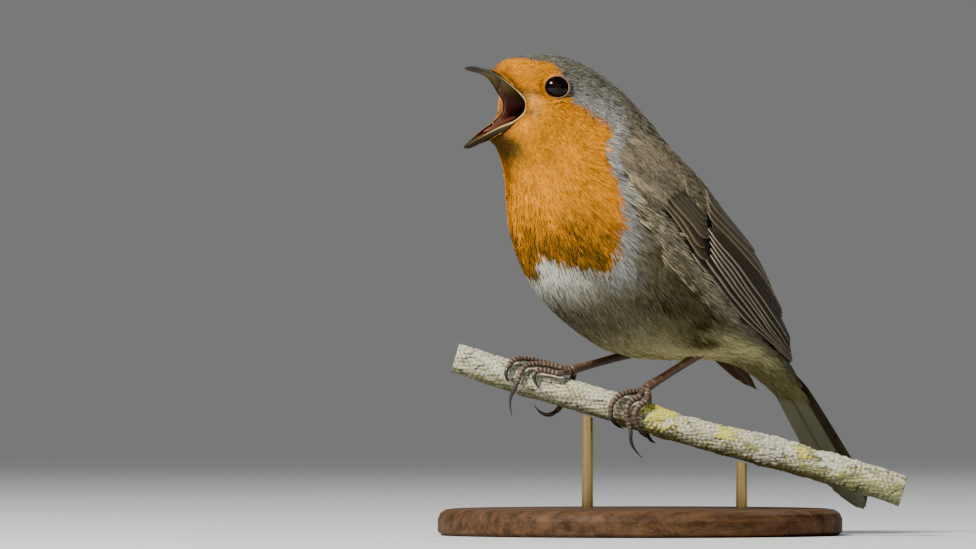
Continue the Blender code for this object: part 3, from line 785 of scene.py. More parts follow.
# How blades and whole tufts vary: the least and the most of each size over its own, or the spread in
# radians.
BLADE_LENGTHS, TUFT_LENGTHS = (0.72, 1.08), (0.85, 1.15)
BLADE_RISES, TUFT_RISES = (0.78, 1.12), (0.9, 1.1)
BLADE_WIDTHS = (0.75, 1.2)
BLADE_TURN, TUFT_TURN, BLADE_ROLL = 0.07, 0.10, 0.35
BLADE_TONE, TUFT_TONE = 0.18, 0.12
ROOT_SHADE, TIP_LIGHT = 0.62, 0.46  # a blade's tone at its root, and how much lighter its tip is
SHOULDER_LIE, FLANK_LIE = -44, 30  # degrees that the coat turns beside the shoulder and on the flank
LIE_WAVES = ((0, 0.3), (2, 0.8), (5, 1.0))  # how much of the gentle waves there is, by place


def moved(surface, place, angle, distance, heading):
    """Places and angles a distance away from others along a surface, heading from its lines by an angle."""
    along, around, _ = directions(surface, place, angle)
    ahead = distance * np.cos(heading) / np.linalg.norm(along, axis=-1)
    return place + ahead, angle + distance * np.sin(heading) / np.linalg.norm(around, axis=-1)


def lie(place, angle, points):
    """How far the coat turns from the body's own lines, towards positive angles: up to the back beside
    the wing's shoulder, down to the belly on the flank, and a little either way in gentle waves."""
    side = side_degrees(angle)
    turn = SHOULDER_LIE * patch("lie_shoulder", place, side) + FLANK_LIE * patch("lie_flank", place, side)
    waves = 0.22 * ripple(points, 9, 21) * table_at(LIE_WAVES, place)
    return np.where(np.sin(angle) >= 0, 1, -1) * np.radians(turn) + waves


# How far the corners of the mouth, and the cheeks behind them, are drawn back and outwards, by place.
GAPE_DRAWN = ((0.0, 0.9, 0.2), (1.0, 1.0, -1.0), (2.0, 0.6, -0.5), (3.2, 0.0, 0.0))
RIGHT_GAPE = 0.6  # how much further in the right corner of the mouth lies, in millimetres


def face(place, angle, swell=0.0):
    """The body's surface with the corners of the mouth drawn back and the cheeks behind them hollowed."""
    corner = patch("gape_corner", 0.0, side_degrees(angle))
    points = BODY(place, angle, swell)
    back, out = (table_at(GAPE_DRAWN, place, column) * corner for column in (1, 2))
    left = np.sin(angle) >= 0
    out = np.where(left, -out, out) - np.where(left, 0, RIGHT_GAPE) * corner * smooth(3 - place)
    return points + np.stack(np.broadcast_arrays(back, out, 0 * back), axis=-1)


def socketed(points, most):
    """Points round each eye pressed in along its axis, to at most this height over its centre."""
    radius, height = from_eye(points)
    _, axis = eye_frame()
    share = step(radius, *SOCKET) * (height > 0)
    sink = np.maximum(height - most, 0) * share
    mirror = np.where(points[..., 1:2] > 0, (1, -1, 1), (1, 1, 1))
    return points - sink[..., None] * axis * mirror


def fluff(place, angle):
    """How far the loose feathers of the belly hang below the body's surface, in millimetres."""
    return FLUFF * near(place, *FLUFF_SPOT) * step(side_degrees(angle), *FLUFF_SIDE)


def hanging(place, angle, swell=0.0):
    """The outside of the coat: the body's surface with the face's hollows and the belly's loose feathers."""
    return socketed(face(place, angle, swell + fluff(np.asarray(place), angle)), LID_HEIGHT)


def tufts(
    name, surface, place, angle, rng, material, paint, length, width, depth, turn=0.0,
    lift=1.0, fan=0.42, mottle=1.0,
):
    """A piece of the coat: at each root a tuft of thin blades that fan out, along the surface's own
    lines.

    A blade's middle line goes from the root in surface coordinates, turned from the lie of the coat by
    its share of the fan, and its height over the skin grows as 1 - (1 - s)^2 of the way s.  It is rolled
    a little about that line, so that neighbouring blades catch the light differently.  Its width swells,
    then tapers to a tip.
    """
    count = len(place)
    blades = (count, BLADES)
    length, width, depth = (np.broadcast_to(v, count)[:, None] for v in (length, width, depth))
    along, around, normal = directions(surface, place, angle)
    per_place = np.linalg.norm(along, axis=-1)[:, None, None]
    per_angle = np.linalg.norm(around, axis=-1)[:, None, None]
    spread = np.linspace(-1, 1, BLADES)[None, :] * fan + rng.normal(0, BLADE_TURN, blades)
    heading = spread + np.asarray(turn + rng.normal(0, TUFT_TURN, count))[:, None]
    reach = length * (1 - 0.9 * spread**2) * rng.uniform(*BLADE_LENGTHS, blades)
    reach = (reach * rng.uniform(*TUFT_LENGTHS, count)[:, None])[..., None] * BLADE_STEPS
    bend = heading[..., None] * (1 - 0.35 * BLADE_STEPS)
    p = place[:, None, None] + reach * np.cos(bend) / per_place
    a = angle[:, None, None] + reach * np.sin(bend) / per_angle
    rise = depth * lift * rng.uniform(*BLADE_RISES, blades) * rng.uniform(*TUFT_RISES, count)[:, None]
    middle = surface(p, a, rise[..., None] * (1 - (1 - BLADE_STEPS) ** 2) - depth[..., None])
    line = unit(middle[:, :, -1] - middle[:, :, 0])
    flat = unit(np.cross(normal[:, None], line))
    roll = rng.normal(0, BLADE_ROLL, blades)[..., None]
    across = flat * np.cos(roll) + np.cross(line, flat) * np.sin(roll)
    half = width * rng.uniform(*BLADE_WIDTHS, blades) / 2
    offset = across[:, :, None] * (half[..., None] * BLADE_TAPER)[..., None]
    points = np.stack([middle - offset, middle + offset], axis=3)
    tone = rng.normal(1, TUFT_TONE * mottle, count)[:, None] * rng.normal(1, BLADE_TONE * mottle, blades)
    shade = tone[..., None] * (ROOT_SHADE + TIP_LIGHT * BLADE_STEPS**0.7)
    tint = paint[:, None, None, None, :] * shade[..., None, None] * np.ones((2, 1))
    columns = ((np.arange(BLADES) + 0.5) / BLADES)[:, None, None] + BLADE_EDGES
    cell = np.stack(np.broadcast_arrays(columns, BLADE_STEPS[:, None]), axis=-1)
    patches = bake_map(place, angle)[:, None, None, None, :] + (cell - 0.5) * BAKE_PATCH
    faces = repeated(grid_faces(len(BLADE_STEPS), 2), count * BLADES, 2 * len(BLADE_STEPS))
    return add_mesh(name, points, [faces], material, tint, {"OFBake": patches}, closed=False)


def plumage_finish():
    """The finish of every tuft: matt, with little grain of its own."""
    return painted("plumage", 0.35, 0.05, grain=0.12, Roughness=0.85, Specular_IOR_Level=0.15)


WING_SPAN = (6.4, 12.8)  # the places between which a wing hides the coat
WING_MARGIN = 5  # degrees inside the wing's edges where the coat ends


def under_wing(place, angle):
    """Whether a place lies under a folded wing, well inside its edges."""
    side = side_degrees(angle)
    low = np.where(np.sin(angle) >= 0, table_at(WING_LOW[1], place), table_at(WING_LOW[-1], place))
    inside = (side > table_at(WING_TOP, place) + WING_MARGIN) & (side < low - WING_MARGIN)
    return inside & (place > WING_SPAN[0]) & (place < WING_SPAN[1])


# The mouth's rings behind its rim: how far in from the body's surface there, and how far back.
MOUTH_ROWS = ((0.5, 0.0), (0.8, 0.5), (1.2, 1.4), (1.9, 2.6), (2.7, 4.0), (3.6, 5.6), (4.4, 7.4), (4.9, 8.6))
SKIN_END = 14.6
SKIN_SIDES = 96
LINING = 0.12  # the thickness of the mouth's lining
LINING_GAP = 0.02  # how far the lining stands off the skin behind it
# The spans of the skin's rings, and how many there are in each.
SKIN_PLACES = ((0.0, 2.0, 24), (2.0, SKIN_END, 110))


def mouth_rings(angle, inset=0.0):
    """Rings of the mouth from its rim to its end: the rim drawn in and set back by a table."""
    rows = [(inwards + inset, back - inset) for inwards, back in MOUTH_ROWS]
    return np.stack([face(0.0, angle, -inwards) + (back, 0, 0) for inwards, back in rows])


def skin_rings(settings, angle):
    """The outside of the skin and its paint: the body's surface sunk by the depth of the coat, and its
    colour painted darker as shade under the coat, less so round the eyes, where it shows."""
    first, second = (np.linspace(*span) for span in SKIN_PLACES)
    place = np.concatenate([first[:-1], second])[:, None]
    rings = socketed(face(place, angle, -table_at(COAT_ROWS, place, DEPTH)), SKIN_SOCKET_HEIGHT)
    bare = step(from_eye(rings)[0], SOCKET[0], 3.4)[..., None]
    # The skin shows between the tufts in a darker tone, as painted shade.
    return rings, markings(settings, *np.broadcast_arrays(place, angle), rings) * (0.55 + 0.35 * bare)


def build_lining(hard, angle):
    """The mouth's wet lining: a thin cup whose roof is paler than its floor, painted darker as shade the
    further in it goes."""
    wet = painted("mouth_lining", 0.9, 0.10, grain=0.3, Roughness=0.5)
    rings = np.concatenate([mouth_rings(angle[0], LINING_GAP)[::-1], mouth_rings(angle[0], LINING)])
    depth = np.array([back for _, back in MOUTH_ROWS]) / MOUTH_ROWS[-1][1]
    depth = np.concatenate([depth[::-1], depth])[:, None, None]
    roof = step(np.cos(angle[0]), 0.2, 0.8)[None, :, None]
    flesh = lerp(rgb(hard.mouth), rgb(hard.palate), roof)
    folds = 1 + 0.25 * ripple(rings, 1.6, 71)[..., None]
    # painted shade deep in the mouth
    paint = lerp(flesh, flesh * 0.22, smooth(depth * 1.2)) * folds
    add_rings("mouth_lining", rings, wet, paint)


def build_skin(settings, hard):
    """One skin for head, neck, trunk and thighs, turned in at the rim of the mouth, with the lining
    inside it."""
    skin = painted("skin", 0.8, 0.08, grain=0.2, Roughness=0.85)
    angle = np.linspace(-math.pi, math.pi, SKIN_SIDES, endpoint=False)[None, :]
    rings, paint = skin_rings(settings, angle)
    pocket = mouth_rings(angle[0])[::-1]
    # The pocket behind the lining is painted in a darker tone of the mouth, as shade.
    dark = np.broadcast_to(rgb(hard.mouth) * 0.5, pocket.shape)
    made = add_rings("skin", np.concatenate([pocket, rings]), skin, np.concatenate([dark, paint]))
    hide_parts("head", "neck", "trunk", "thigh_left", "thigh_right")
    build_lining(hard, angle)


# Each piece of the coat: the places and the half turns from the middle of the back where it begins and
# ends, and its share of all the tufts.  A piece that reaches the middle of the breast, at one half turn,
# is made on each side.
COAT_PIECES = {
    "face": ((0.0, 2.6), (0.0, 1.0), 0.115),
    "cheek": ((2.6, 4.6), (0.0, 1.0), 0.105),
    "neck": ((4.6, 6.8), (0.0, 1.0), 0.09),
    "breast": ((6.8, 9.2), (0.45, 1.0), 0.085),
    "belly": ((9.2, 13.0), (0.40, 1.0), 0.09),
    "back": ((6.8, 13.0), (-0.34, 0.34), 0.08),
    "rump": ((13.0, 13.8), (-0.68, 0.68), 0.019),
    "vent": ((13.0, 14.2), (0.68, 1.0), 0.020),
}
COAT_SUNK = -0.4  # the height over the body's surface where the coat's colour is read
EYE_BARE = 0.20  # how far round the opening of the eye no tuft ends
# How far from the eye's axis tufts begin to be shorter, and where they are shortest.
EYE_SHORT = (5.86, 3.66)
EYE_SHORTER = 0.55  # and by how much
EYE_SHORT_END = 3.4  # the place behind which they aren't
MOTTLES = {"back": 0.6}  # how much the tufts' tones vary, where it differs
COAT_MOTTLE = 0.85


def crowding(place):
    """How many tufts stand on a square millimetre of the coat."""
    return table_at(COAT_ROWS, place, CROWDING)


def coat_roots(place, angle):
    """The tufts' lengths, which way they lie and where they end, and which of them may stand: the ones
    that end outside the eyes and are not under a wing."""
    points = BODY(place, angle, COAT_SUNK)
    short = step(from_eye(points)[0], *EYE_SHORT) * (place < EYE_SHORT_END)
    length = table_at(COAT_ROWS, place, LENGTH) * (1 - EYE_SHORTER * short)
    turn = lie(place, angle, points)
    ends = moved(BODY, place, angle, 0.65 * length, turn)
    points = BODY(*ends, COAT_SUNK)
    radius, height = from_eye(points)
    radius = np.minimum(radius, from_eye(BODY(place, angle))[0])
    in_eye = (radius < EYE_OPENING + EYE_BARE) & (height > 0)
    return length, turn, *ends, points, ~in_eye & ~under_wing(place, angle) & (place > 0.03)


def build_coat(settings):
    """The coat: pieces of the body's surface covered with tufts, crowded by the coat's own table."""
    rng = np.random.default_rng(5)
    plumage = plumage_finish()
    pieces = []
    for name, (places, turns, share) in COAT_PIECES.items():
        if turns[1] < 1:
            pieces.append((name, f"coat_{name}", places, turns, share))
        else:
            pieces.append((name, f"coat_{name}_left", places, turns, share))
            pieces.append((name, f"coat_{name}_right", places, (-turns[1], -turns[0]), share))
    for name, title, places, turns, share in pieces:
        angles = [turn * math.pi for turn in turns]
        count = int(settings.tufts * share)
        roots = scatter(BODY, places, angles, count, rng, crowding)
        *columns, keep = coat_roots(*roots)
        place, angle, length, turn, *ends, points = (column[keep] for column in (*roots, *columns))
        paint = markings(settings, *ends, points)
        depth = table_at(COAT_ROWS, place, DEPTH) + fluff(place, angle)
        width = table_at(COAT_ROWS, place, WIDTH)
        mottle = MOTTLES.get(name, COAT_MOTTLE)
        tufts(title, hanging, place, angle, rng, plumage, paint, length, width, depth, turn, mottle=mottle)


def bill_surface(name):
    """The outside of half of the bill as a surface: place is the share of the way to its tip, angle is
    round it."""

    def surface(place, angle, swell=0.0):
        """The bill's own points, from an angle in radians."""
        return bill_points(name, place, np.degrees(angle), swell)

    return surface


BRISTLE_SPAN = (0.0, 0.22)  # the share of the way to the bill's tip that bristles may stand on


def bristle_limit(name, aside):
    """How far along half of the bill its bristles reach, by degrees from its ridge: they leave the ridge
    of the upper half almost bare, and the edges of the lower one."""
    if name == "upper_bill":
        return 0.02 + 0.14 * step(aside, 6, 28)
    return 0.13 * step(aside, 44, 22)


def build_bristles(settings):
    """Short stiff feathers that lie forward over the base of the bill, longest over the nostrils."""
    rng = np.random.default_rng(12)
    plumage = plumage_finish()
    for name in BILL_TIPS:
        surface = bill_surface(name)
        reach = math.radians(BILL_REACH - 3)
        place, angle = scatter(surface, BRISTLE_SPAN, (-reach, reach), settings.bristles, rng, cells=60)
        limit = bristle_limit(name, np.abs(np.degrees(angle)))
        keep = place < limit * rng.random(len(place)) ** 0.6
        place, angle = place[keep], angle[keep]
        rusty = 0.4 + 0.4 * ripple(surface(place, angle), 1.5, 61)[:, None]
        paint = lerp(rgb(settings.orange), rgb(settings.rust), rusty)
        tufts(f"coat_{name}_base", surface, place, angle, rng, plumage, paint, 1.3, 0.12, 0.12, lift=3.4)


# The flank's long tufts: the places and degrees they stand at behind and in front, how many there are of
# each, and by place how long they are, how they turn and how deep they stand.
FLANK_BEHIND = ((6.6, 10.6), (0.5, 10), 760)  # degrees below the wing's lower edge
FLANK_FRONT = ((5.45, 6.15), (66, 90), 520)  # degrees from the middle of the back
FLANK_LENGTHS = (3.6, 6.0)
FLANK_SHORTER = ((5.3, 0.7), (6.1, 0.75), (6.6, 1.0))
FLANK_TURNS = ((5.3, -20), (6.4, -44), (8.0, -44), (9.5, -28), (10.6, -12))
FLANK_DEPTHS = ((5.4, 0.95), (6.2, 1.05), (6.8, 1.6))
# The share of tufts that are cream, the place they start at, and how much they are so.
FLANK_PALE = (0.30, 6.3, 0.6)


def build_flank_fluff(settings):
    """Longer loose tufts of the flanks that lap over the lower edges of the wings."""
    rng = np.random.default_rng(8)
    plumage = plumage_finish()
    for side, mirror in SIDES:
        places, degrees, count = FLANK_BEHIND
        place = rng.uniform(*places, count)
        behind = np.radians(table_at(WING_LOW[mirror], place) + rng.uniform(*degrees, count))
        places, degrees, count = FLANK_FRONT
        place = np.concatenate([place, rng.uniform(*places, count)])
        angle = mirror * np.concatenate([behind, np.radians(rng.uniform(*degrees, count))])
        length = rng.uniform(*FLANK_LENGTHS, len(place)) * table_at(FLANK_SHORTER, place)
        turn = mirror * np.radians(table_at(FLANK_TURNS, place) + rng.normal(0, 9, len(place)))
        ends = moved(BODY, place, angle, 0.8 * length, turn)
        paint = markings(settings, *ends, BODY(*ends))
        share, start, creaminess = FLANK_PALE
        pale = (rng.random(len(place)) < share) & (place > start)
        paint = lerp(paint, rgb(settings.cream), creaminess * pale[:, None])
        depth = table_at(FLANK_DEPTHS, place)
        tufts(
            f"coat_flank_{side}", BODY, place, angle, rng, plumage, paint, length, 0.28, depth, turn,
            lift=1.75, fan=0.30,
        )


# ---------------------------------------------------------------- long feathers

VANE_ROWS = 26
VANE_POINTS = 9
VANE_THICKNESS = 0.10
VANE_CAMBER = 0.16
VANE_SHAFT = (0.66, 0.045)  # where the shaft's dark line runs across the vane, and how wide it is
VANE_ACROSS = np.linspace(0, 1, VANE_POINTS)  # from the hidden edge to the exposed one
RING_ACROSS = np.broadcast_to(np.concatenate([VANE_ACROSS, VANE_ACROSS[::-1]]), (VANE_ROWS, 2 * VANE_POINTS))


def rounded(share, blunt):
    """A feather's width over its full width: past the blunt share of its length it closes as the square
    root of 1 - t^2."""
    closing = np.clip((share - blunt) / (1 - blunt), 0, 1)
    return np.sqrt(np.clip(1 - closing**2, 0.0004, 1))


def vane_rings(mirror, line, width, low, high, blunt, tip):
    """Rings round one feather's vane on a wing, and the share of the way to its tip at each.

    line gives rows of place and angle in degrees for its exposed edge, joined by a spline.  The vane
    reaches width degrees back from that edge, and past the blunt share of its length it narrows to a tip
    that lies a share of the way in.  Its height goes from low at the hidden edge to high at the exposed
    one, with a camber added as a half sine.  The same points a thickness lower make the underside.
    """
    share = np.linspace(0, 1, VANE_ROWS) ** 0.9
    place, exposed = spline(line)(share * (len(line) - 1)).T
    closed = width * (1 - rounded(share, blunt) * smooth(0.35 + share * 6))
    outer = exposed - (1 - tip) * closed
    inner = exposed - width + tip * closed
    angles = mirror * np.radians(inner[:, None] + (outer - inner)[:, None] * VANE_ACROSS)
    swell = low + (high - low) * VANE_ACROSS + VANE_CAMBER * np.sin(math.pi * VANE_ACROSS)
    top = wing_top(place[:, None], angles, swell)
    under = wing_top(place[:, None], angles, swell - VANE_THICKNESS)
    return np.concatenate([top, under[:, ::-1]], axis=1), share


def vane_paint(share, base, edge, fringe, under, rng, fade=0.0):
    """The colour of a vane: its own tone, a pale fringe along the exposed edge and round the tip, a dark
    line along the shaft, and a paler underside.  The fringe fades by a share towards the tip."""
    u = RING_ACROSS
    tone = rng.normal(1, 0.06)
    rows = np.broadcast_to(share[:, None], u.shape)
    beside, ahead = smooth((u - (1 - fringe)) / 0.05), step(rows, 0.965, 0.985) * step(u, 0.3, 0.5)
    rim = np.maximum(beside, ahead)[..., None]
    paint = lerp(base * tone, edge, rim * (1 - fade * rows)[..., None])
    paint = paint * (1 - 0.45 * near(u, *VANE_SHAFT))[..., None] * (0.8 + 0.3 * u)[..., None]
    below = (np.arange(u.shape[1]) >= VANE_POINTS)[None, :, None]
    return np.where(below, lerp(under, edge, 0.6 * rim), paint)


def vane_map(share, width, length):
    """A map of a vane: across it from 0 to a width, and along it from 0 to its length."""
    along = np.broadcast_to(share[:, None] * length, RING_ACROSS.shape)
    return np.stack([RING_ACROSS * width, along], axis=-1)


def add_vanes(name, made, quill):
    """One mesh from several vanes, with their colours and a map whose v runs along the barbs."""
    rings, paint, maps = (np.stack(column) for column in zip(*made))
    return add_rings(name, rings, quill, paint, {"vane": maps})


def vane_finish():
    """Fine slanting barbs as relief and tone, read from the vane's own map."""
    made, feed, wire = finish("vanes", Roughness=0.62, Specular_IOR_Level=0.3)
    place = wire.node("UVMap", {"uv_map": "vane"})
    waves = {"wave_type": "BANDS", "bands_direction": "DIAGONAL", "wave_profile": "SIN"}
    values = {"Vector": place, "Scale": 2.6, "Distortion": 0.6, "Detail": 1.0}
    barbs = wire.node("TexWave", waves, values, output=1)
    clumps = noise_at(wire, 1.2, source=mapped(wire, (MM, MM, MM), place))
    feed("Base Color", toned(wire, barbs * 0.22 + clumps * 0.5 + 0.62))
    feed("Normal", bump_from(wire, barbs, 0.03))
    return made


# The exposed edges of the flight feathers: places and degrees from the middle of the back, base to tip.
PRIMARIES = (
    ((8.74, 63.8), (9.59, 58.8), (10.44, 54.2), (10.97, 51.8), (11.50, 55.5), (12.08, 63.2), (12.50, 67.2)),
    ((8.87, 66.0), (9.84, 61.2), (10.40, 59.0), (10.87, 57.2), (11.39, 60.8), (11.95, 69.0), (12.71, 75.0)),
    ((9.00, 68.0), (9.82, 64.5), (10.31, 62.5), (10.80, 60.5), (11.38, 64.8), (12.02, 75.5), (12.84, 77.5)),
    ((9.15, 70.2), (9.95, 67.2), (10.43, 65.2), (10.91, 63.5), (11.48, 69.0), (12.06, 78.8), (12.95, 79.5)),
    ((9.27, 72.8), (10.09, 69.8), (10.46, 68.2), (10.92, 67.3), (11.47, 73.5), (12.08, 82.5), (13.03, 81.8)),
    ((9.10, 77.0), (9.92, 74.5), (10.39, 72.8), (10.98, 71.5), (11.60, 78.5), (12.22, 85.5), (12.95, 83.5)),
    ((9.00, 82.5), (9.90, 78.5), (10.40, 76.5), (11.00, 76.0), (11.65, 83.0), (12.20, 88.0), (12.75, 86.5)),
)
SECONDARIES = (
    ((8.70, 57.0), (9.20, 53.0), (9.70, 50.0), (10.20, 45.8), (10.70, 40.5), (11.20, 37.5), (11.62, 40.0)),
    ((8.70, 58.5), (9.20, 54.8), (9.70, 52.0), (10.20, 48.2), (10.70, 43.8), (11.20, 41.5), (11.70, 45.0)),
    ((8.70, 61.0), (9.20, 57.2), (9.70, 54.6), (10.20, 51.2), (10.70, 47.8), (11.20, 46.8), (11.76, 51.0)),
)
TERTIALS = (
    ((8.1, 47.0), (8.5, 46.5), (8.8, 44.5), (9.2, 41.0), (9.6, 37.0), (10.00, 32.0)),
    ((8.2, 51.5), (8.6, 51.5), (9.0, 48.0), (9.5, 44.5), (10.0, 39.5), (10.5, 35.0), (10.95, 30.0)),
    (
        (8.3, 55.5), (8.7, 55.2), (9.2, 50.8), (9.76, 47.2), (10.13, 43.8), (10.56, 38.5), (11.06, 34.5),
        (11.60, 36.0),
    ),
)
GREATER_COVERTS = (
    ((6.9, 50.0), (7.3, 50.0), (7.7, 49.0), (8.1, 47.5), (8.35, 46.5)),
    ((6.9, 53.5), (7.3, 54.0), (7.7, 53.2), (8.1, 51.5), (8.42, 50.0)),
    ((6.9, 57.5), (7.3, 58.5), (7.7, 57.8), (8.1, 55.8), (8.46, 54.0)),
    ((6.9, 61.5), (7.3, 62.5), (7.7, 62.0), (8.1, 60.0), (8.50, 58.2)),
    ((6.9, 65.0), (7.3, 66.0), (7.7, 65.6), (8.1, 64.0), (8.56, 62.0)),
    ((6.95, 68.5), (7.35, 69.2), (7.75, 68.6), (8.15, 67.2), (8.66, 65.0)),
    ((7.0, 71.5), (7.48, 71.8), (7.8, 71.5), (8.11, 70.0), (8.40, 68.8), (8.86, 67.8)),
    ((7.2, 74.5), (7.6, 74.8), (8.06, 73.2), (8.32, 71.6), (8.59, 70.5), (8.92, 70.0)),
)
ALULA = (
    ((7.4, 78.0), (7.8, 77.5), (8.09, 76.2), (8.37, 75.4), (8.70, 75.2), (9.05, 75.0)),
    ((7.2, 81.5), (7.6, 80.5), (8.0, 79.5), (8.5, 78.5), (9.00, 78.0), (9.35, 77.5)),
)
SHOULDER_LINE = ((5.9, 66), (6.45, 60), (7.2, 57), (7.65, 58))  # a pale line down the shoulder, by place
BEND_LINE = ((5.9, 88), (6.5, 85), (7.15, 81), (7.6, 78))  # another along the bend of the wing
# How much lower the right wing's tip lies.
RIGHT_DROOP = ((8.5, 0), (10.2, 4), (11.6, 9), (12.6, 8), (13.1, 0))
# A place, and how much further back vanes and bed go for each place behind it.
RIGHT_REACH = (10, 0.35, 0.07)
# The rows of vanes: their lines, their width in degrees, their colours, how wide the fringe is, how high
# the hidden edge of the last vane lies, the step up to each vane before it, how much higher exposed edges
# are, and the tips.
FEATHER_ROWS = {
    "quills": dict(
        lines=PRIMARIES, width=15, base="quill", edge="quill_edge", fringe=0.06, lowest=0.55, layer=0.09,
        rise=0.45, fade=0.55,
    ),
    "inner_quills": dict(
        lines=SECONDARIES, width=14, base="quill", edge="tertial", fringe=0.09, lowest=1.20, layer=0.07,
        rise=0.35, blunt=0.94,
    ),
    "tertials": dict(
        lines=TERTIALS, width=15, base="tertial", edge="covert_edge", fringe=0.07, lowest=1.40, layer=0.12,
        rise=0.35, blunt=0.80, fade=0.1,
    ),
    "alula": dict(
        lines=ALULA, width=8, base="tertial", edge="covert_edge", fringe=0.14, lowest=0.85, layer=0.06,
        rise=0.40, blunt=0.85,
    ),
    "greater_coverts": dict(
        lines=GREATER_COVERTS, width=10, base="covert", edge="covert_edge", fringe=0.14, lowest=1.20,
        layer=0.03, rise=0.25, blunt=0.84, fade=0.3,
    ),
}
QUILL_TIPS = {1: dict(blunt=0.92, tip=0.8), -1: dict(blunt=0.93, tip=0.45)}
WING_PARTS = {"quills": "primaries", "tertials": "secondaries", "greater_coverts": "coverts"}
# Where the wings lie a millimetre higher over the rump, by place and degrees.
RUMP_RISE = ((10.5, 1.5), (62, 32))
BED_SPANS = {1: (6.3, 13.0, 40), -1: (6.3, 13.8, 40)}
BED_COLUMNS = 15
COVERT_ROOTS = (1900, (5.9, 8.5), (34, 90))  # how many small coverts, their places and their degrees
COVERT_LOW = ((5.9, 83), (6.6, 88), (8, 86))  # the lowest of them, in degrees by place
COVERT_SIZES = (3.6, 0.26, 1.0)  # length, width and depth
COVERT_HEIGHT = 1.75


def wing_top(place, angle, swell=0.0):
    """The surface that a folded wing's feathers lie on: the wing bed, raised up to a millimetre over the
    rump."""
    places, degrees = RUMP_RISE
    rise = near(np.asarray(place), *places) * step(side_degrees(angle), *degrees)
    return WING_BED(place, angle, swell + rise)


def covert_top(place, angle, swell=0.0):
    """The surface that the small coverts lie on, over the other rows."""
    return wing_top(place, angle, swell + COVERT_HEIGHT)


def drooped(line, mirror):
    """A line of the left wing as it is, or moved lower and further back for the right one."""
    if mirror > 0:
        return line
    start, further, _ = RIGHT_REACH
    return [(p + further * max(0, p - start), a + table_at(RIGHT_DROOP, p)) for p, a in line]


def vane_row(
    quills, mirror, rng, lines, width, base, edge, fringe, lowest, layer, rise, blunt=0.86, tip=0.5, fade=0.0
):
    """The vanes of one row of a wing, in which each one's exposed edge lies on the hidden part of the
    next."""
    under = rgb(quills.vane_under)
    base, edge = (rgb(getattr(quills, name)) for name in (base, edge))
    made = []
    for i, line in enumerate(lines):
        low = lowest + layer * (len(lines) - 1 - i)
        rings, share = vane_rings(mirror, drooped(line, mirror), width, low, low + rise, blunt, tip)
        paint = vane_paint(share, base, edge, fringe, under, rng, fade)
        made.append((rings, paint, vane_map(share, 3.0, np.linalg.norm(rings[-1, 0] - rings[0, 0]))))
    return made


def build_bed(side, mirror, plumage, quills, bed):
    """The dark bed of one wing: a shell between the wing's edges, thickest in the middle, painted in darker
    tones of the quills and the vanes' undersides as shade under the feathers, with a darker tone of the
    back along its upper edge."""
    start, _, further = RIGHT_REACH
    top = np.array(WING_TOP)
    top[:, 0] += further * np.maximum(top[:, 0] - start, 0) * (mirror < 0)
    place = np.linspace(*BED_SPANS[mirror])[:, None]
    lower = table_at(WING_LOW[mirror], place) - 1.5
    upper = np.minimum(table_at(top, place) + 1.0, lower - 1)
    across = np.linspace(0, 1, BED_COLUMNS)
    angles = mirror * np.radians(upper + (lower - upper) * across)
    thick = 0.15 + 0.75 * np.sin(math.pi * across) ** 0.7
    rings = np.concatenate([wing_top(place, angles, thick), WING_BED(place, angles, 0.05)[:, ::-1]], axis=1)
    below = (np.arange(2 * BED_COLUMNS) >= BED_COLUMNS)[:, None]
    inward = step(np.concatenate([across, across[::-1]]), 0.40, 0.20)[:, None]
    # Darker tones of the quill, the vanes' undersides and the back, as painted shade under the feathers.
    dark = np.where(below, rgb(quills.vane_under) * 0.5, rgb(quills.quill) * 0.8)
    paint = lerp(dark, rgb(plumage.mantle) * 0.8, inward)
    add_rings(f"wing_{side}_bed", rings, bed, paint)


def covert_paint(plumage, quills, place, side):
    """The small coverts' colour: blotches, two pale lines down the wing, and a painted shadow line under
    the lower of them."""
    along = np.stack([2.6 * place, 0.33 * side, 0 * place], axis=-1)
    blotch = smooth(0.5 + 0.9 * ripple(along, 2.0, 41))[:, None]
    shoulder, bend = (table_at(line, place) for line in (SHOULDER_LINE, BEND_LINE))
    pale = np.maximum(near(side, shoulder, 1.8), near(side, bend, 1.2))[:, None]
    # a painted shadow under the bend of the wing
    dark = (near(side, bend + 4.2, 1.6) * step(place, 6.5, 7.0))[:, None]
    paint = lerp(rgb(plumage.wing) * (0.80 + 0.45 * blotch), rgb(plumage.dusk), 0.75 * dark)
    return lerp(paint, rgb(quills.covert_edge) * 1.5, 0.65 * pale)


def build_small_coverts(side, mirror, plumage, quills, rng):
    """The small coverts as tufts, from the wing's upper edge to its bend, with a ragged slanting rear
    border."""
    count, places, degrees = COVERT_ROOTS
    place, angle = scatter(WING_BED, places, np.radians(degrees), count, rng)
    degrees = np.degrees(angle)
    keep = degrees > table_at(WING_TOP, place) - 3 - (place - 6) * 2
    keep &= degrees < table_at(COVERT_LOW, place)
    keep &= (place < 7.35) | (degrees < 57 + (7.9 - place) * 14 + rng.normal(0, 2, len(place)))
    place, angle = place[keep], mirror * angle[keep]
    paint = covert_paint(plumage, quills, place, degrees[keep])
    turn = -mirror * 0.10 + 0.15 * ripple(WING_BED(place, angle, 1.0), 8, 45)
    tufts(
        f"wing_{side}_small_coverts", covert_top, place, angle, rng, plumage_finish(), paint, *COVERT_SIZES,
        turn, mottle=0.7,
    )


